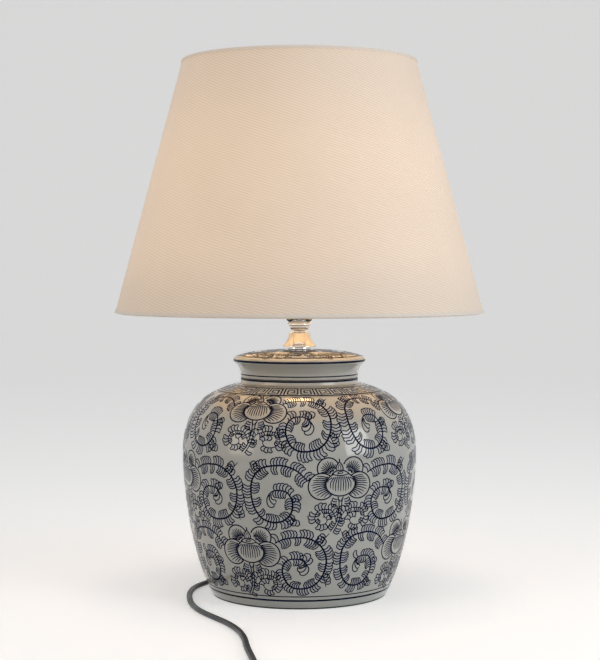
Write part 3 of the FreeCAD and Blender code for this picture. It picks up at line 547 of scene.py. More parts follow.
finishes = {
    "porcelain": surface("porcelain_glaze", (0.39, 0.40, 0.38), (0.46, 0.465, 0.44), 11.0, 60.0, (0.07, 0.13),
                         0.05, Coat_Weight=0.25, Coat_Roughness=0.04),
    "chrome": metal("polished_chrome", (0.74, 0.73, 0.71), (0.82, 0.81, 0.79), 0.04, 0.1),
    "plated_steel": metal("zinc_plated_steel", (0.5, 0.5, 0.48), (0.64, 0.64, 0.61), 0.22, 0.4, 700.0, 0.02),
    "brass": metal("plain_brass", (0.62, 0.44, 0.18), (0.76, 0.58, 0.28), 0.18, 0.38, 500.0, 0.01),
    "core_copper": metal("bare_copper", (0.62, 0.30, 0.17), (0.78, 0.42, 0.27), 0.2, 0.4, 700.0, 0.01),
    "pin_metal": metal("nickel_plate", (0.66, 0.64, 0.60), (0.78, 0.76, 0.72), 0.12, 0.26, 500.0, 0.01),
    "bulb_metal": metal("rolled_cap_metal", (0.62, 0.62, 0.62), (0.76, 0.76, 0.75), 0.25, 0.42, 500.0, 0.02),
    "filament": surface("coated_filament", (0.8, 0.6, 0.2), (0.95, 0.78, 0.34), 200, 900, (0.5, 0.7), 0),
    "felt": surface("green_black_felt", (0.012, 0.022, 0.014), (0.045, 0.065, 0.048), 260.0, 1600.0,
                    (0.88, 1.0), 0.35, Sheen_Weight=0.4, Sheen_Roughness=0.6),
    "gasket_rubber": surface("gasket_rubber", (0.03, 0.02, 0.016), (0.055, 0.04, 0.03), 40.0, 900.0,
                             (0.6, 0.85), 0.03),
    "holder_plastic": surface("white_moulding", (0.70, 0.68, 0.62), (0.79, 0.77, 0.71), 18.0, 1100.0,
                              (0.25, 0.4), 0.015),
    "holder_insert": surface("cream_moulding", (0.60, 0.56, 0.47), (0.70, 0.66, 0.57), 25.0, 1100.0,
                             (0.45, 0.6), 0.02),
    "bulb_insulator": surface("black_cap_glass", (0.010, 0.010, 0.013), (0.03, 0.03, 0.034), 60.0, 400.0,
                              (0.08, 0.2), 0.01),
    "bulb_glass": surface("lit_frosted_glass", (0.90, 0.86, 0.78), (0.97, 0.94, 0.88), 25.0, 1200.0,
                          (0.35, 0.5), 0.01, Emission_Color=(1.0, 0.60, 0.27), Emission_Strength=22.0),
    "shade_lining": surface("white_lining_film", (0.78, 0.75, 0.69), (0.86, 0.84, 0.79), 12.0, 700.0,
                            (0.4, 0.55), 0.02),
    "shade_frame": surface("white_wire_paint", (0.72, 0.70, 0.66), (0.82, 0.80, 0.76), 45.0, 700.0,
                           (0.25, 0.42), 0.03),
    "cord_sheath": surface("black_cord_sheath", (0.013, 0.013, 0.015), (0.028, 0.028, 0.031), 60.0, 900.0,
                           (0.3, 0.48), 0.02),
    "black_plastic": surface("black_moulding", (0.012, 0.012, 0.014), (0.026, 0.026, 0.029), 35.0, 1300.0,
                             (0.28, 0.45), 0.025),
    "tie": surface("black_hook_strip", (0.010, 0.010, 0.011), (0.05, 0.05, 0.052), 900.0, 2200.0, (0.8, 1.0),
                   0.3),
    # the shade cloth's emission is a painted glow, not a lamp
    "shade_cloth": cloth("satin_shade_cloth", (0.58, 0.53, 0.47), (0.76, 0.71, 0.64), 115.0, 0.0027,
                         (0.36, 0.215, 0.11)),
}
# the hem cloth carries a fainter painted glow in its emission
hem_finish = cloth("hem_cloth", (0.62, 0.58, 0.53), (0.80, 0.76, 0.71), 230.0, 0.0015, (0.20, 0.13, 0.075))
cobalt_line = surface("cobalt_line", (0.002, 0.004, 0.015), (0.005, 0.011, 0.042), 90.0, 60.0, (0.12, 0.2),
                      0.0, Specular_IOR_Level=0.06)
cobalt_tint = surface("cobalt_tint", (0.33, 0.35, 0.385), (0.40, 0.415, 0.44), 60.0, 60.0, (0.08, 0.14), 0.0,
                      Coat_Weight=0.25, Coat_Roughness=0.04)


def finish_nodes():
    """Each CAD node's material, by its slot in the record."""
    for part in frame["record"]["subparts"]:
        for slot in frame["nodes"][part["node"]].material_slots:
            slot.material = finishes[part["material_slot"]]


# ---- Brush painting on turned surfaces ----

line_lift = 0.06
tint_lift = 0.03
overlap_step = 0.004
longest_step = 2.4
new_step = 2
strip_width = 0.4
ring_sides = 256


class Surface:
    """A turned surface from its outline: x runs round it from the front, v down its outline."""

    def __init__(self, outline, reference_radius):
        line = np.array(outline, float)
        self.line = line
        self.gone = distances(line)
        ways = np.gradient(line, self.gone, axis=0)
        self.normals = np.column_stack([-ways[:, 1], ways[:, 0]])
        self.normals /= np.linalg.norm(self.normals, axis=1)[:, None]
        self.reference_radius = reference_radius

    def radius(self, v):
        return np.interp(v, self.gone, self.line[:, 0])

    def down_to(self, height):
        """The v at which the outline has come down to a height."""
        return float(np.interp(-height, -self.line[:, 1], self.gone))

    def place(self, x, v, lift):
        """Places in space of pattern points, lifted along the surface's normal."""
        angle = x / self.reference_radius
        out = self.radius(v) + lift * np.interp(v, self.gone, self.normals[:, 0])
        height = np.interp(v, self.gone, self.line[:, 1]) + lift * np.interp(v, self.gone, self.normals[:, 1])
        return np.column_stack([out * np.sin(angle), -out * np.cos(angle), height]) * MM


class Painting:
    """Brush strokes on a surface, each one a thin closed ribbon that lies half in the glaze."""

    def __init__(self, surface, lift):
        self.surface = surface
        self.lift = lift
        self.x = []
        self.v = []
        self.lifts = []
        self.faces = []
        self.count = 0
        self.strokes = 0

    def stroke(self, points, width, start=1.0, end=1.0):
        """A stroke through pattern points, with its width in true millimetres and its ends' shares of it."""
        points = np.asarray(points, float)
        if np.linalg.norm(np.diff(points, axis=0), axis=1).max() > longest_step:
            gone = distances(points)
            points = at(np.linspace(0, gone[-1], math.ceil(gone[-1] / new_step) + 1), gone, points)
        squeeze = self.surface.radius(points[:, 1]) / self.surface.reference_radius
        ways = np.gradient(points, axis=0)
        ways[:, 0] *= squeeze
        ways /= np.maximum(np.linalg.norm(ways, axis=1), 1e-9)[:, None]
        share = np.interp(np.linspace(0, 1, len(points)), (0, 0.25, 0.75, 1), (start, 1, 1, end))
        half = width / 2 * share
        side_x = -ways[:, 1] * half / squeeze
        side_v = ways[:, 0] * half
        lift = self.lift + overlap_step * (self.strokes % 5)
        self.strokes += 1
        self.shell([(points[:, 0] + sign * side_x, points[:, 1] + sign * side_v, height)
                    for sign, height in ((1, lift), (-1, lift), (-1, -lift), (1, -lift))], False)

    def ring(self, v, width):
        """A line all round the surface, in strips narrow enough to follow a curved edge."""
        x = np.arange(ring_sides) * 2 * math.pi * self.surface.reference_radius / ring_sides
        strips = max(1, math.ceil(width / strip_width))
        across = list(v - width / 2 + width * np.arange(strips + 1) / strips)
        rows = [(place, self.lift) for place in across] + [(place, -self.lift) for place in across[::-1]]
        self.shell([(x, np.full(ring_sides, place), lift) for place, lift in rows], True)

    def shell(self, rows, closed):
        """Joins rows of pattern points into a tube, which closes on itself or has two caps."""
        length = len(rows[0][0])
        starts = [self.count + k * length for k in range(len(rows))]
        for x, v, lift in rows:
            self.x.append(x)
            self.v.append(v)
            self.lifts.append(np.full(length, lift))
        for i in range(length if closed else length - 1):
            j = (i + 1) % length
            for a, b in zip(starts, starts[1:] + starts[:1]):
                self.faces.append((a + i, b + i, b + j, a + j))
        if not closed:
            self.faces.append(tuple(starts[::-1]))
            self.faces.append(tuple(start + length - 1 for start in starts))
        self.count += len(rows) * length

    def stamp(self, strokes, centre, wide=1.0, tall=1.0):
        """Strokes of a motif, put round a place."""
        for points, width, start, end in strokes:
            self.stroke(points * (wide, tall) + centre, width * min(1.0, max(0.7, wide)), start, end)

    def finish(self, name, ink):
        """The painting as one piece."""
        joined = (np.concatenate(values) for values in (self.x, self.v, self.lifts))
        dress(link_mesh(name, self.surface.place(*joined).tolist(), self.faces), "porcelain", material=ink)


# ---- The lotus scroll, drawn in millimetres round the middle of a flower's front petal, y down ----

front_petal = ((0.0, -0.9), (15.2, 12.2))
side_petal = ((19.2, 0.9), (13.2, 13.6))
upper_petal = ((12.9, -17.4), (10.8, 11.0))
bud_tip = (-1.8, -24.0)
hatch_focus = (8.4, -11.9)
hatches = 12
lower_fan = (-34, 7.6)
upper_fan = (10, 9.6)
lower_hatch_ends = (0.6, 3.0)
upper_hatch_starts = (2.2, 5.6)
upper_hatch_end = 3.2
hatch_stagger = 0.8
shortest_hatch = 5
right_spine = [(28.5, -11.4), (36.2, -15.4), (42.8, -17.1), (50.3, -17.9), (57.8, -17.9), (63.7, -16.7),
               (69.5, -14.2), (74.5, -10.4), (78.7, -5.4), (81.6, 0.4), (83.2, 6.7), (83.2, 13.3),
               (81.8, 20.0), (79.5, 25.8), (75.3, 31.7), (70.3, 35.8), (64.5, 38.3), (57.8, 39.3),
               (50.3, 39.2), (44.5, 37.1), (39.9, 32.9), (37.0, 27.5), (35.3, 21.7), (35.3, 16.7),
               (37.0, 11.7), (40.3, 7.9), (44.5, 5.8), (49.5, 5.4), (55.3, 6.2), (59.5, 8.8), (62.0, 11.7)]
right_end = ([(62.0, 11.7), (64.3, 16.0), (63.3, 20.5), (58.6, 23.7), (54.6, 22.2), (54.2, 19.6)],
             [(61.0, 10.5), (61.4, 14.5), (59.0, 18.6), (55.4, 20.0), (52.2, 18.4), (52.0, 15.2)],
             [(59.6, 9.2), (59.4, 12.6), (57.0, 15.3), (54.2, 15.8), (51.8, 14.6)])
right_outer = (1, 5, 4, 3, 4, 4, 2, 3, 4, 4, 4, 3, 4, 3, 4, 4, 5, 6)
right_inner = (4, 2, 5, 4, 3, 2, 5, 4, 3, 4, 2, 3, 4, 3, 2, 2)
right_twigs = ([(75.5, -9.5), (80.5, -17.0), (85, -22.0)], [(80.5, 25), (83.5, 31.5), (85.5, 38)],
               [(59.5, 8.6), (62.5, 6.6), (65.5, 6.8)])
left_spine = [(-29.6, -1.8), (-34.2, -6.3), (-38.3, -10.8), (-42.5, -14.6), (-47.5, -17.5), (-53.3, -19.8),
              (-60.0, -20.7), (-66.7, -20.3), (-73.3, -19.2), (-79.2, -16.7), (-83.3, -12.5), (-86.7, -7.5),
              (-88.8, -1.7), (-89.3, 4.2), (-89.2, 11.7), (-87.9, 19.2), (-85.4, 25.8), (-81.7, 31.7),
              (-76.7, 35.8), (-70.8, 38.1), (-65.0, 38.6), (-59.2, 37.5), (-54.2, 34.6), (-50.0, 30.0),
              (-47.9, 24.2), (-47.7, 18.3), (-49.2, 12.5), (-51.7, 8.3), (-55.0, 5.8), (-59.2, 5.0),
              (-64.2, 5.0), (-68.3, 6.7), (-70.8, 9.2)]
left_end = ([(-70.8, 9.2), (-72.7, 13.3), (-72.9, 18.3), (-70.8, 22.1), (-67.5, 22.7), (-65.2, 20.4)],
            [(-70.3, 9.6), (-70.4, 14.2), (-68.7, 17.5), (-66.0, 19.4), (-64.2, 18.3)],
            [(-68.7, 8.4), (-68.7, 11.7), (-67.1, 14.6), (-64.2, 15.0), (-63.6, 17.1)])
left_outer = (3, 4, 5, 4, 3, 4, 4, 2, 3, 5, 4, 6, 4, 4, 4, 3, 5, 4)
left_inner = (4, 4, 2, 5, 4, 3, 2, 5, 3, 4, 5, 2, 3, 3, 2, 2)
left_twigs = ([(-50.5, 31), (-46.5, 34.5), (-41.5, 36)], [(-49, 12.5), (-45.5, 9.5), (-41.5, 8.6)],
              [(-84.0, -12.0), (-88.5, -17.5), (-90.5, -23.5)])
spirals = {1: (right_spine, right_end, right_outer, right_inner, right_twigs),
           -1: (left_spine, left_end, left_outer, left_inner, left_twigs)}
right_curl = [(1.8, 31.8), (4.6, 28.3), (9.6, 25.3), (16.0, 24.3), (22.7, 25.3), (26.8, 29.3), (27.4, 35.2),
              (24.5, 40.2), (18.8, 42.3), (13.4, 40.8), (11.2, 36.6), (14.2, 33.8), (18.2, 34.8)]
left_curl = [(-3.9, 39), (-4.9, 33.5), (-6.5, 29.3), (-9.8, 25.8), (-14.0, 24.6), (-19.0, 25.1),
             (-23.6, 27.7), (-25.4, 32.0), (-24.9, 36.9), (-21.5, 40.2), (-16.5, 40.6), (-13.2, 37.7),
             (-14.0, 34.0), (-17.6, 32.8)]
stem_left = [(-2.4, 12.0), (-1.4, 17.5), (-1.2, 23.0), (-1.9, 30.2), (-2.9, 36.8), (-5.7, 43.5), (-9.4, 48.6)]
stem_right = [(2.9, 12.0), (1.6, 17.5), (1.4, 24.3), (0.6, 31.0), (-0.7, 37.7), (-3.3, 43.8), (-6.6, 49.2)]
line_width = 1.4
hatch_width = 1.05
leaf_width = 1.22
spine_width = 1.9
tint_width = 1.7


def oval(centre, radii, first, last, steps):
    """Points of an ellipse between two angles in degrees, clockwise on the page from its right."""
    turns = np.radians(np.linspace(first, last, steps))
    return np.column_stack([centre[0] + radii[0] * np.cos(turns), centre[1] + radii[1] * np.sin(turns)])


def outside(points, centre, radii):
    """Which points lie outside an ellipse."""
    return ((points[:, 0] - centre[0]) / radii[0]) ** 2 + ((points[:, 1] - centre[1]) / radii[1]) ** 2 > 1


def reach_to(start, way, centre, radii):
    """How far along the way from start the ellipse's far side lies."""
    p = (np.array(start) - centre) / radii
    d = np.array(way) / radii
    a, b, c = d @ d, 2 * p @ d, p @ p - 1
    return (-b + math.sqrt(max(b * b - 4 * a * c, 0))) / (2 * a)


def runs(points, kept):
    """The stretches of the points that are kept, at least three points long."""
    found = []
    stretch = []
    for point, keep in zip(points, kept):
        if keep:
            stretch.append(point)
        else:
            found.append(stretch)
            stretch = []
    found.append(stretch)
    return [np.array(s) for s in found if len(s) > 2]


def mirrored(ellipse, side):
    """An ellipse's centre and radii, on the right for side 1 or on the left for -1."""
    return (side * ellipse[0][0], ellipse[0][1]), ellipse[1]


def hatch(start, end, sag, first):
    """A hatching stroke, bent a little at its middle and thin at its end."""
    return np.array([start, (start + end) / 2 + sag, end]), hatch_width, first, 0.6


def side_petals(side, ink, tint):
    """The lower petal and the upper one on one side of the flower, with their hatching."""
    lower = mirrored(side_petal, side)
    upper = mirrored(upper_petal, side)
    edge = oval(*lower, -170, 190, 44)
    ink += [(s, line_width, 1, 1) for s in runs(edge, outside(edge, *front_petal))]
    edge = oval(*upper, 90, 450, 40)
    shown = outside(edge, *front_petal) & outside(edge, *lower) & (edge[:, 0] * side > 2.6)
    ink += [(s, line_width, 1, 1) for s in runs(edge, shown)]
    rim_gap, tip_gap = lower_hatch_ends
    for k in range(hatches):
        turn = math.radians(lower_fan[0] + lower_fan[1] * k)
        start = front_petal[0] + (np.array(front_petal[1]) + rim_gap) * heading(turn, side)
        way = heading(0.12 + turn * (0.85 if turn > 0 else 0.45), side)
        reach = reach_to(start, way, *lower)
        if reach > shortest_hatch:
            end = start + way * (reach - tip_gap - hatch_stagger * (k % 2))
            ink.append(hatch(start, end, (0, -0.6), 1.7))
            tint.append((np.array([start, start + way * reach * 0.4]), tint_width, 1, 0.4))
    focus = np.array((side * hatch_focus[0], hatch_focus[1]))
    for k in range(hatches):
        way = heading(-math.radians(upper_fan[0] + upper_fan[1] * k), side)
        reach = reach_to(focus, way, *upper)
        end = focus + way * (reach - upper_hatch_end - hatch_stagger * (k % 2))
        ink.append(hatch(focus + way * upper_hatch_starts[k % 2], end, (side * 0.3, -0.3), 1.0))


def draw_flower():
    """The flower's ink strokes and tints: five petals with their hatching, a bud and an eye."""
    ink = [(oval(*front_petal, -62, 242, 34), line_width, 1, 1)]
    tint = []
    for side in (-1, 1):
        side_petals(side, ink, tint)
    for k in range(-5, 6):
        share = k / 5
        start = np.array((share * 9.0, -8.9 + 1.0 * share ** 2))
        end = np.array((share * 13.2, 6.6 - 8.6 * share ** 4 - hatch_stagger * (k % 2)))
        ink.append(hatch(start, end, (share * 2.2, 0), 1.3))
        tint.append((np.array([start, start + (share * 1.8, 6)]), tint_width, 1, 0.4))
    bud = [(through([(-4.9, -15.4), (-4.7, -19.6), bud_tip], (-0.2, -1), (0.8, -1), 1.5), 1.3),
           (through([(1.9, -15.4), (1.4, -19.6), bud_tip], (0.2, -1), (-0.8, -1), 1.5), 1.3),
           (through([(-3.1, -16.0), (-1.6, -21.2), (-0.1, -16.0)], (-0.1, -1), (0.1, 1), 1.2), 0.8)]
    eye = [(through([(-9.4, -11.8), (-4.8, -14.5), (0, -15.3), (4.4, -14.2), (8.2, -11.8)],
                    (1, -0.6), (1, 0.7), 1.4), 1.3),
           (through([(-9.4, -11.8), (-4.8, -10.3), (0, -9.8), (4.4, -10.3), (8.2, -11.8)],
                    (1, 0.5), (1, -0.6), 1.4), 1.2),
           (through([(-3.6, -12.2), (-0.8, -13.9), (1.8, -13.0), (0.6, -11.9)],
                    (0.6, -1), (-1, 0.2), 0.8), 1.0),
           (np.array([(-3.8, -11.7), (-1.5, -12.1), (0.6, -11.9)]), 1.0)]
    ink += [(line, width, 1, 0.8) for line, width in bud + eye]
    ink.append((np.array([bud_tip, (-1.5, -25.6), (-2.2, -27.4)]), 1.4, 1, 0.5))
    return ink, tint


def fingers(spine, side, length, groups, dice, start, pitch, gap=4.0, shrink=0.0, flare=0.3, hang=1.0):
    """Curved leaf fingers along one side of a spine, in groups that hold together: ink strokes and tints."""
    gone = distances(spine)
    ways = np.gradient(spine, gone, axis=0)
    ink = []
    tint = []

    def rib(s, held, turn, reach):
        """The foot, knee and tip of a finger's side that starts s along the spine, and the way it points."""
        point = at(s, gone, spine)[0]
        way = unit(at(held, gone, ways)[0])
        out = side * left_of(way)
        knee = point + reach * 0.5 * (out * math.cos(turn + 0.25) + way * math.sin(turn + 0.25))
        bend = out * math.cos(turn - 0.5) + way * math.sin(turn - 0.5)
        return point, knee, knee + reach * 0.5 * bend, bend

    s = start
    for number, count in enumerate(groups):
        count = min(count, int((gone[-1] - s) / pitch))
        if count < 1:
            break
        size = length * dice.uniform(0.92, 1.08) * (1 - shrink * number / len(groups))
        size *= 1 + (hang - 1) * max(0.0, math.sin(math.pi * min(1.0, max(0.0, s / gone[-1] * 2.4 - 0.6))))
        sway = dice.uniform(-0.12, 0.12)
        middle = s + count * pitch / 2
        for j in range(count):
            share = (j + 0.5) / count
            reach = size * (0.84 + 0.2 * math.sin(math.pi * share))
            turn = sway + flare * (share - 0.5)
            base, knee, tip, bend = rib(s, middle + 0.4 * (s - middle), turn, reach)
            base_2, knee_2, tip_2, _ = rib(s + pitch, middle + 0.4 * (s + pitch - middle),
                                           turn + flare / count, reach)
            across = tip_2 - tip
            crown = bend * 0.34 * np.linalg.norm(across)
            cap = [tip + across * part + crown * math.sin(math.pi * part) for part in (0.25, 0.5, 0.75)]
            ink.append((np.array([base, (base + knee) / 2, knee, tip, *cap, tip_2]), leaf_width, 0.9, 1.0))
            tint.append((np.array([(base + base_2) / 2, (knee + knee_2) / 2, (tip + tip_2) / 2]),
                         0.6 * pitch, 0.8, 0.9))
            s += pitch
            if j == count - 1:
                ink.append((np.array([base_2, (base_2 + knee_2) / 2, knee_2, tip_2]), leaf_width, 0.9, 1.1))
        s += gap * dice.uniform(0.8, 1.2)
    return ink, tint


def together(ink, parts):
    """The ink strokes with those of the parts, and the parts' tints."""
    for more, _ in parts:
        ink += more
    return ink, [stroke for _, tints in parts for stroke in tints]


def draw_spiral(mirror, hang, dice):
    """A large leafy spiral beside the flower, on the right for mirror 1 or on the left for -1."""
    corners, end, outer, inner, twigs = spirals[mirror]
    spine = flowing(corners, 2.2)
    ink = [(spine, spine_width, 0.7, 0.7)]
    ink += [(flowing(finger, 1.2), leaf_width, 1.2, 1.0) for finger in end]
    parts = [fingers(spine, -mirror, 8.4, outer, dice, 1.5, 2.8, gap=4.6, shrink=0.12, flare=0.22,
                     hang=hang),
             fingers(spine, mirror, 9.8, inner, dice, 5.0, 2.8, gap=6.4, shrink=0.3, flare=-0.1)]
    for corners in twigs:
        twig = flowing(corners, 1.5)
        ink.append((twig, 1.0, 1, 0.7))
        parts.append(fingers(twig, -mirror, 6.6, (4,), dice, 0.6, 2.3, flare=0.9))
    return together(ink, parts)


def draw_stem(dice):
    """The stem under the flower, its leaves and the two small curls."""
    stems = [through(stem_left, (0.2, 1), (-1, 1.4), 2.5), through(stem_right, (-0.3, 1), (-1, 1.4), 2.5)]
    ink = [(stem, 1.2, 1, 0.8) for stem in stems]
    ink.append((np.array([(-3.0, 12.2), (0.0, 17.6), (3.0, 12.2)]), 1.0, 0.8, 0.8))
    parts = []
    for curl, mirror, leaving in ((right_curl, 1, (1, -1)), (left_curl, -1, (0, -1))):
        line = through(curl, leaving, (mirror, 0.3), 1.8)
        ink.append((line, 1.05, 0.7, 0.8))
        parts.append(fingers(line, -mirror, 7.0, (2, 3, 3, 3, 3, 3), dice, 1.0, 2.4, gap=4.6,
                             shrink=0.3, flare=0.8))
        parts.append(fingers(line, mirror, 4.4, (2, 3, 2, 2), dice, 7.0, 2.4, gap=5.0, shrink=0.3,
                             flare=0.0))
    for twig, side in (([(-2.8, 14.5), (-3.6, 18), (-3.4, 22)], 1),
                       ([(3.8, 14.5), (4.4, 18), (4.0, 22)], -1)):
        line = through(twig, (side * -0.3, 1), (side * 0.2, 1), 1.2)
        parts.append(fingers(line, side, 6.0, (3,), dice, 0.2, 2.3))
    parts.append(fingers(stems[1], -1, 6.0, (3, 3), dice, 22.5, 2.3, gap=5.0))
    parts.append(fingers(stems[0], 1, 5.5, (3,), dice, 29.0, 2.3))
    return together(ink, parts)


def reshaped(strokes, wide, above, below):
    """The strokes with their width, height and depth beside the flower's middle in these shares."""
    return [(points * np.column_stack([np.full(len(points), wide), np.where(points[:, 1] < 0, above, below)]),
             *rest) for points, *rest in strokes]


def behind(strokes, wide, tall):
    """The strokes that no petal of a flower of this size hides."""
    shown = []
    petals = [front_petal, *(mirrored(p, s) for p in (side_petal, upper_petal) for s in (-1, 1))]
    for points, width, start, end in strokes:
        clear = np.ones(len(points), bool)
        for (x, y), (a, b) in petals:
            clear &= outside(points, (x * wide, y * tall), (a * wide, b * tall))
        shown += [(s, width, start, end) for s in runs(points, clear)]
    return shown


def draw_meander(painting, top, height, cells):
    """The fret band: square hooks, mirrored in turn, one for each cell."""
    cell = 2 * math.pi * painting.surface.reference_radius / cells
    hook = [(0.1, 1.0), (0.1, 0.0), (0.9, 0.0), (0.9, 0.94), (0.3, 0.94), (0.3, 0.3), (0.7, 0.3), (0.7, 0.68),
            (0.5, 0.68)]
    for k in range(cells):
        corners = [np.array(((k + (x if k % 2 else 1 - x)) * cell, top + y * height)) for x, y in hook]
        for a, b in zip(corners, corners[1:]):
            way = unit(b - a) * 0.7
            painting.stroke(np.array([a - way, (a + b) / 2, b + way]), 1.45)


# ---- Jar and lid ----

jar_pattern_radius = 120.0
lid_pattern_radius = 42.0
jar_wall_line = through(jar_points, jar_leaving, jar_arriving, 2.5)
jar_surface = Surface(through(jar_points, jar_leaving, jar_arriving, 0.5)[::-1], jar_pattern_radius)
collar_surface = Surface([(collar_radius, height) for height in (collar_top, 233.0, 230.6)], collar_radius)
lid_outside = [(lid_waist[0], lid_base), lid_waist]
for start, end, sagitta, steps in ((lid_waist, lid_flare, 1.1, 10), (lid_flare, lid_rim, -0.25, 4),
                                   (lid_rim, lid_edge, -0.8, 8), (lid_edge, lid_shoulder, -0.6, 8),
                                   (lid_shoulder, lid_flat, -0.25, 8)):
    lid_outside += bow(start, end, sagitta, steps)
lid_surface = Surface(lid_outside[::-1], lid_pattern_radius)
flower_rows = (("top", (-48.3, 50.8), (1.06, 0.92), (0.98, 0.9, 1.08), 1.45),
               ("middle", (41.0, 128.2), (1.0, 1.0), (1.0, 1.0, 1.0), 1.15),
               ("bottom", (-54.0, 200.4), (1.04, 1.0), (1.0, 1.0, 1.0), 1.0))
flowers_in_row = 4
meander_top = 7.2
meander_height = 14.0
meander_cells = 30
jar_rings = ((1.0, 0.9), (4.8, 1.2), (23.8, 2.6), (26.8, 0.6), (249.6, 1.2), (254.6, 2.2))
collar_ring = (1.0, 1.6)
lid_flowers = 6
lid_flower_place = 22.0
lid_flower_share = 0.42
lid_curl_place = 26.0
lid_curl_shares = (0.5, 0.55)
lid_side_rings = ((254.4, 2.3), (239.3, 1.2))
lid_top_rings = ((66.0, 2.2), (18.0, 0.8))


def make_jar():
    """The jar with its foot ring, recess, curved wall, collar and neck, hollow inside."""
    recess_top = pad_top + foot_recess
    floor = recess_top + jar_wall
    recess_radius = foot_radius - foot_width
    outline = [(0, recess_top), (recess_radius, recess_top), (recess_radius, pad_top), (foot_radius, pad_top)]
    outline += [tuple(p) for p in jar_wall_line]
    bore = neck_radius - jar_wall
    outline += [(collar_radius, jar_points[-1][1] + 0.9), (collar_radius, collar_top),
                (neck_radius, collar_top), (neck_radius, neck_top), (bore, neck_top), (bore, ledge_height)]
    inner = []
    for before, here, after in zip(jar_wall_line, jar_wall_line[1:], jar_wall_line[2:]):
        way = unit(after - before)
        point = here + jar_wall * left_of(way)
        if floor < point[1] < ledge_height - 1:
            inner.append(tuple(point))
    outline += [(inner[-1][0], ledge_height)] + inner[::-1] + [(inner[0][0], floor), (0, floor)]
    jar = turned("jar", eased(outline, 0.8, closed=False), 256)
    smooth(jar)
    dress(jar, "porcelain", nodes=["jar_body"])


def paint_jar():
    """The scroll in three rows, the fret under the neck and the lines at the neck and the foot."""
    for index, (name, place, (wide, tall), shares, hang) in enumerate(flower_rows):
        dice = random.Random(11 + index)
        flower, stem = draw_flower(), draw_stem(dice)
        right, left = draw_spiral(1, hang, dice), draw_spiral(-1, hang, dice)
        for kind, (label, lift, ink) in enumerate((("lines", line_lift, cobalt_line),
                                                   ("tints", tint_lift, cobalt_tint))):
            painting = Painting(jar_surface, lift)
            leaves = behind(reshaped(right[kind] + left[kind], *shares), wide, tall)
            for k in range(flowers_in_row):
                centre = (place[0] + k * math.pi / 2 * jar_surface.reference_radius, place[1])
                painting.stamp(flower[kind] + stem[kind], centre, wide, tall)
                painting.stamp(leaves, centre)
            painting.finish(f"scroll_{label}_{name}", ink)
    bands = Painting(jar_surface, line_lift)
    draw_meander(bands, meander_top, meander_height, meander_cells)
    for v, width in jar_rings:
        bands.ring(v, width)
    bands.finish("jar_band_lines", cobalt_line)
    collar = Painting(collar_surface, line_lift)
    collar.ring(*collar_ring)
    collar.finish("collar_line", cobalt_line)


def make_lid():
    """The lid with its rounded rim, flared skirt, low dome and hollow underside."""
    outline = lid_outside + [(tube_hole, lid_flat[1]), (tube_hole, lid_flat[1] - lid_wall),
                             (lid_shoulder[0], lid_flat[1] - lid_wall - 1), (lid_skirt_bore, lid_skirt_top),
                             (lid_skirt_bore, lid_base)]
    lid = turned("lid", eased(outline, 0.7), 256)
    smooth(lid)
    dress(lid, "porcelain", nodes=["jar_lid"])


def paint_lid():
    """Curls and small flowers round the top of the lid, and the lines round its rim and waist."""
    painting = Painting(lid_surface, line_lift)
    tints = Painting(lid_surface, tint_lift)
    flower, flower_tint = draw_flower()
    stem, stem_tint = draw_stem(random.Random(5))
    girth = 2 * math.pi * lid_surface.reference_radius
    for k in range(lid_flowers):
        centre = (k * girth / lid_flowers, lid_flower_place)
        painting.stamp(flower + stem, centre, lid_flower_share, lid_flower_share)
        tints.stamp(flower_tint + stem_tint, centre, lid_flower_share, lid_flower_share)
        for side in (-1, 1):
            place = (centre[0] + girth / lid_flowers / 2, lid_curl_place)
            curls = [(points * (side, 1), *rest) for points, *rest in stem]
            painting.stamp(curls, place, lid_curl_shares[0], lid_curl_shares[1] * side)
    for height, width in lid_side_rings:
        painting.ring(lid_surface.down_to(height), width)
    for radius, width in lid_top_rings:
        painting.ring(float(np.interp(radius, lid_surface.line[:20, 0], lid_surface.gone[:20])), width)
    painting.finish("lid_lines", cobalt_line)
    tints.finish("lid_tints", cobalt_tint)


# ---- Chrome column ----

def chrome_piece(name, node, outline, reach):
    """A turned chrome piece, with its sharp edges eased by reach."""
    piece = turned(name, eased(outline, reach))
    smooth(piece, 30)
    dress(piece, "chrome", nodes=[node])


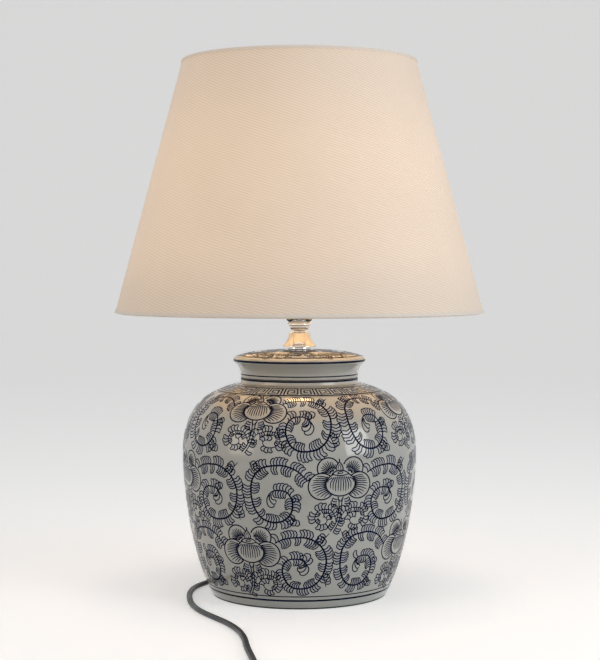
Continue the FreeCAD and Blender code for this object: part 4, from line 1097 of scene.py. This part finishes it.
def make_column():
    """The turned chrome pieces from the lid to the lampholder."""
    low, high = (corner.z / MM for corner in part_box("check_ring"))
    disc = [(tube_hole, low), (check_ring_radius, low), (check_ring_radius, high), (tube_hole, high)]
    chrome_piece("check_disc", "check_ring", disc, 0.4)
    lip = (bell_radius, bell_low + bell_lip)
    crown = (bell_waist[0] - 0.9, bell_crown[1] - 1.2)
    outside = [(bell_radius, bell_low), lip] + bow(lip, bell_waist, 0.9, 12)
    outside += [crown] + bow(crown, bell_crown, -0.5, 4) + [(tube_hole, bell_crown[1])]
    inner_waist = (bell_waist[0] - bell_shell, bell_waist[1])
    inner_lip = (bell_radius - bell_shell, bell_low + bell_lip)
    inside = [(tube_hole, bell_crown[1] - bell_shell), (crown[0] - bell_shell, bell_crown[1] - bell_shell),
              inner_waist] + bow(inner_waist, inner_lip, -0.9, 12) + [(bell_radius - bell_shell, bell_low)]
    chrome_piece("bell", "bell_cap", outside + inside, 0.25)
    rim = (lower_ring_radius, lower_ring_top - lower_ring_edge)
    lower = [(tube_hole, bell_crown[1]), (lower_ring_stem[0], bell_crown[1]), lower_ring_stem]
    lower += bow(lower_ring_stem, rim, -0.7, 6)
    lower += [(lower_ring_radius - 0.5, lower_ring_top), (groove_radius, lower_ring_top),
              (groove_radius, upper_ring_low), (tube_hole, upper_ring_low)]
    chrome_piece("lower_bowl_ring", "lower_ring", lower, 0.25)
    edge = upper_ring_radius - bead
    upper = [(tube_hole, upper_ring_low), (edge, upper_ring_low)]
    upper += bow(upper[-1], (edge, cup_low), -bead, 12) + [(tube_hole, cup_low)]
    chrome_piece("upper_bead_ring", "upper_ring", upper, 0.2)
    bowl_low = (cup_foot_radius, cup_low)
    bowl_high = (cup_radius, cup_bowl_top)
    cup = [(tube_hole, cup_low), bowl_low] + bow(bowl_low, bowl_high, -1.3, 12)
    inner_high = (cup_radius - cup_shell, cup_bowl_top)
    inner_low = (cup_foot_radius - cup_shell, cup_low + cup_shell)
    cup += [(cup_radius, cup_top), (cup_radius - cup_shell, cup_top), inner_high]
    cup += bow(inner_high, inner_low, 1.2, 12) + [(tube_hole, cup_low + cup_shell)]
    chrome_piece("lampholder_cup", "holder_cup", cup, 0.25)


# ---- Shade ----

shade_slope = math.atan2(shade_bottom_radius - shade_top_radius, shade_high - shade_low)


def shade_point(up, depth, from_top):
    """A point of the shade's wall: up along the slope from an edge, and depth in from the face."""
    base = np.array((shade_top_radius, shade_high) if from_top else (shade_bottom_radius, shade_low))
    outward = heading(shade_slope)
    along = left_of(outward)
    return tuple(base + (-along if from_top else along) * up - outward * depth)


def make_skin(name, depth, thickness):
    """A cone of cloth at a depth in the wall, from hem to hem."""
    low, high, inner_low, inner_high = (np.array(shade_point(cover_depth, deep, from_top))
                                        for deep in (depth, depth + thickness) for from_top in (False, True))
    rows = 24
    ways = ((low, high), (inner_high, inner_low))
    outline = [tuple(start + (end - start) * k / rows) for start, end in ways for k in range(rows + 1)]
    return turned(name, outline, 256)


def make_hem(name, from_top):
    """A folded strip of cloth round an edge of the shade: a leg outside, the fold and a leg inside."""
    corners = [shade_point(up, depth, from_top) for up, depth in (
        (0, 0), (hem_reach, 0), (hem_reach, hem_cloth), (hem_cloth, hem_cloth), (hem_cloth, tuck_depth),
        (hem_tuck, tuck_depth), (hem_tuck, tuck_depth + hem_cloth), (0, tuck_depth + hem_cloth))]
    return turned(name, eased(corners, 0.5), 256)


def make_wire(name, from_top):
    """The wire ring that stiffens an edge of the shade."""
    radius, height = shade_point(hem_cloth + 0.1 + wire_radius, wire_depth, from_top)
    section = [(radius, height) + wire_radius * heading(k * math.pi / 6) for k in range(12)]
    return turned(name, section)


def make_shade():
    """The shade's cover, lining, hems and wires."""
    cover = make_skin("shade_cover_cloth", cover_depth, cover_thickness)
    liner = make_skin("shade_lining_sheet", liner_depth, liner_thickness)
    hems = [make_hem("bottom_hem_band", False), make_hem("top_hem_band", True)]
    wires = [make_wire("bottom_wire_ring", False), make_wire("top_wire_ring", True)]
    for piece in (cover, liner, *hems, *wires):
        smooth(piece, 40)
    dress(cover, "shade_cloth", "shade", ["shade_cover"])
    dress(liner, "shade_lining", "shade", ["shade_liner"])
    for hem, node in zip(hems, ("bottom_hem", "top_hem")):
        dress(hem, "shade_cloth", "shade", [node], hem_finish)
    for wire, node in zip(wires, ("bottom_wire", "top_wire")):
        dress(wire, "shade_frame", "shade", [node])


# ---- Cord ----

lead_route = [(0, 126.1, 18.3), (0, 147, 10.2), (-5, 168, 5.0)]
lead_route += [(x, y, cord_lie) for x, y in (
    (-19, 187), (-42, 195.5), (-65, 189.5), (-80.5, 170), (-83, 143), (-77, 115), (-77, 88), (-88, 62),
    (-104, 38), (-116, 10), (-119, -20), (-117, -52), (-112, -83), (-102, -113), (-87, -141), (-71, -169),
    (-59, -200), (-52, -233), (-49, -267), (-44, -301), (-39, -334))]
lead_route += [(-36, -362, 4.0), (-36, -387, 6)]
tail_route = [(-36, -449, 6), (-36, -465, 4.0)]
tail_route += [(x, y, cord_lie) for x, y in ((-29.9, -479.8), (-18.6, -491.1), (-3.8, -497.2), (15, -498.4))]
end_route = [(66, -498, 6.4), (86, -495, 3.6), (104, -486, 2.6), (116, -470, 4.0), (121, -451, 6),
             (122, -432, 6.85)]


def coil_point(turns):
    """A point of the coil's centre line, counted in turns from its start, nearest the front."""
    reverse = 0.25
    from_middle = turns - coil_half_turns
    away = abs(from_middle)
    step = away ** 2 / (2 * reverse) + reverse / 2 if away < reverse else away
    rise = min(max((from_middle + reverse) / (2 * reverse), 0), 1)
    radius = coil_radius - coil_pitch * coil_half_turns / 2 + coil_pitch * step
    angle = 2 * math.pi * turns + FRONT
    return (coil_centre[0] + radius * math.cos(angle), coil_centre[1] + radius * math.sin(angle),
            cord_lie + coil_rise * (3 * rise ** 2 - 2 * rise ** 3))


def smooth_line(route):
    """The points of the smooth line that a route controls, in metres."""
    curve = bpy.data.curves.new("route", "CURVE")
    curve.dimensions = "3D"
    spline = curve.splines.new("NURBS")
    spline.points.add(len(route) - 1)
    for point, place in zip(spline.points, route):
        point.co = (*(Vector(place) * MM), 1)
    spline.order_u = 3
    spline.use_endpoint_u = True
    spline.resolution_u = 8
    holder = bpy.data.objects.new("route", curve)
    mesh = bpy.data.meshes.new_from_object(holder)
    line = [vertex.co.copy() for vertex in mesh.vertices]
    bpy.data.objects.remove(holder)
    bpy.data.meshes.remove(mesh)
    bpy.data.curves.remove(curve)
    return line


def cord_section():
    """The twin cord's outline: two round cores side by side with a shallow groove between them."""
    core = cord_height / 2
    reach = cord_width / 2 - core
    groove = 0.35
    points = []
    for side in (1, -1):
        for k in range(-4, 5):
            turn = k * math.pi / 8
            points.append((side * (reach + core * math.cos(turn)), side * core * math.sin(turn)))
        points.append((0, side * (core - groove)))
    return points


def make_cord(name, line):
    """A closed tube of the twin section along a line, its wide side level."""
    section = cord_section()
    rings = len(line)
    vertices = []
    for i, point in enumerate(line):
        way = (line[min(i + 1, rings - 1)] - line[max(i - 1, 0)]).normalized()
        across = way.cross(Vector((0, 0, 1))).normalized()
        up = across.cross(way)
        vertices += [point + across * x * MM + up * y * MM for x, y in section]
    sides = len(section)
    faces = []
    for i in range(rings - 1):
        for k in range(sides):
            a = i * sides + k
            b = i * sides + (k + 1) % sides
            faces.append((a, b, b + sides, a + sides))
    faces.append(tuple(range(sides - 1, -1, -1)))
    faces.append(tuple((rings - 1) * sides + k for k in range(sides)))
    piece = link_mesh(name, vertices, faces)
    activate(piece)
    edit()
    face_outwards()
    smooth(piece, 50)
    return piece


def make_tie():
    """The strap over the coil, fitted to its two layers and open where the cord lies on the table."""
    inner, top = tie_half, cord_lie + coil_rise + cord_height / 2 + tie_gap
    outer, crest = inner + tie_thickness, top + tie_thickness
    wide, small = tie_corner, tie_inner_corner
    outline = [(-outer, 0.0), *oval((wide - outer, crest - wide), (wide, wide), 180, 90, 9),
               *oval((outer - wide, crest - wide), (wide, wide), 90, 0, 9), (outer, 0.0), (inner, 0.0),
               *oval((inner - small, top - small), (small, small), 0, 90, 9),
               *oval((small - inner, top - small), (small, small), 90, 180, 9), (-inner, 0.0)]
    deselect()
    bpy.ops.mesh.primitive_circle_add(vertices=len(outline), radius=MM, fill_type="NGON")
    tie = new_piece("coil_strap")
    for vertex, (x, z) in zip(tie.data.vertices, outline):
        vertex.co = (x * MM, -tie_width / 2 * MM, z * MM)
    edit()
    bpy.ops.mesh.extrude_region_move(TRANSFORM_OT_translate={"value": (0, tie_width * MM, 0)})
    face_outwards()
    tie.data.transform(Matrix.Translation(Vector((*coil_centre, 0)) * MM) @ Matrix.Rotation(tie_angle, 4, "Z")
                       @ Matrix.Translation((coil_radius * MM, 0, 0)))
    smooth(tie)
    return dress(tie, "tie", nodes=["coil_tie"])


def make_cords():
    """The free cord: from the grommet to the switch, and from the switch through the coil to the plug."""
    first = smooth_line(lead_route)
    lead = make_cord("cord_to_switch", first)
    dress(lead, "cord_sheath", nodes=["cord_lead"])
    turns = 2 * coil_half_turns
    coil = [coil_point(k / coil_points_per_turn) for k in range(turns * coil_points_per_turn + 1)]
    second = smooth_line(tail_route + coil + end_route)
    tail = make_cord("cord_to_plug", second)
    dress(tail, "cord_sheath", nodes=["cord_tail", "cord_coil", "cord_end"])
    tie = make_tie()


# ---- Floor, light and camera ----

floor_reach = 3.0
backdrop_bend = 1.2
backdrop_height = 3.2
paper_lift = 0.42
sky_light = 0.27
sky_lift = 0.65


def studio_paper():
    """Pale paper, a little brighter where it is seen than the light on it makes it."""
    finish = Finish("studio_paper", Roughness=0.9, Base_Color=(0.80, 0.80, 0.80),
                    Emission_Color=(1.0, 1.0, 1.0))
    finish.feed(math_node(finish.tree, "MULTIPLY", seen_rays(finish.tree), paper_lift), "Emission Strength")
    return finish.material


def make_backdrop():
    """A pale floor in one sheet with the wall that it curves up into behind the lamp."""
    deselect()
    bpy.ops.mesh.primitive_plane_add(size=2 * floor_reach)
    floor = new_piece("studio_floor")
    edit("DESELECT")
    bpy.ops.object.mode_set(mode="OBJECT")
    for edge in floor.data.edges:
        edge.select = all(floor.data.vertices[v].co.y > 0 for v in edge.vertices)
    bpy.ops.object.mode_set(mode="EDIT")
    bpy.ops.mesh.select_mode(type="EDGE")
    bpy.ops.mesh.spin(steps=24, angle=-math.pi / 2, center=(0, floor_reach, backdrop_bend), axis=(1, 0, 0))
    bpy.ops.mesh.extrude_region_move(TRANSFORM_OT_translate={"value": (0, 0, backdrop_height)})
    bpy.ops.mesh.select_mode(type="VERT")
    bpy.ops.object.mode_set(mode="OBJECT")
    smooth(floor, 60)
    floor.data.materials.append(studio_paper())


def make_stage():
    """The backdrop, the soft lights and the camera."""
    make_backdrop()
    world = bpy.data.worlds.new("studio")
    bpy.context.scene.world = world
    world.use_nodes = True
    tree = world.node_tree
    strength = math_node(tree, "ADD", math_node(tree, "MULTIPLY", seen_rays(tree), sky_lift), sky_light)
    give(tree, tree.nodes["Background"].inputs["Color"], (1, 1, 1))
    give(tree, tree.nodes["Background"].inputs["Strength"], strength)
    for name, place, size, power, colour in (
            ("softbox_left", (-1.34, -0.87, 0.62), (0.75, 0.9), 4.6, (1.0, 0.90, 0.78)),
            ("softbox_right", (1.34, -0.87, 0.62), (0.75, 0.9), 9.5, (0.95, 0.98, 1.0)),
            ("overhead", (0, -0.3, 2.2), (1.6, 1.6), 8.5, (1.0, 1.0, 1.0))):
        light = bpy.data.lights.new(name, "AREA")
        light.shape = "RECTANGLE"
        light.size, light.size_y = size
        light.energy = power
        light.color = colour
        lamp = bpy.data.objects.new(name, light)
        lamp.location = place
        aim = Vector((0, 0, 0.25)) - Vector(place)
        lamp.rotation_euler = aim.to_track_quat("-Z", "Y").to_euler()
        bpy.context.scene.collection.objects.link(lamp)
    view = bpy.data.cameras.new("camera")
    view.sensor_width = sensor_size
    view.lens = focal_pixels * sensor_size / picture_height
    camera = bpy.data.objects.new("camera", view)
    camera.location = camera_place
    camera.rotation_euler = (math.pi / 2 - camera_pitch, 0, 0)
    bpy.context.scene.collection.objects.link(camera)
    bpy.context.scene.camera = camera
    bpy.context.scene.view_settings.view_transform = "Standard"


make_stage()
make_cords()
finish_nodes()
make_jar()
paint_jar()
make_lid()
paint_lid()
make_column()
make_shade()

deselect()
bpy.context.view_layer.update()
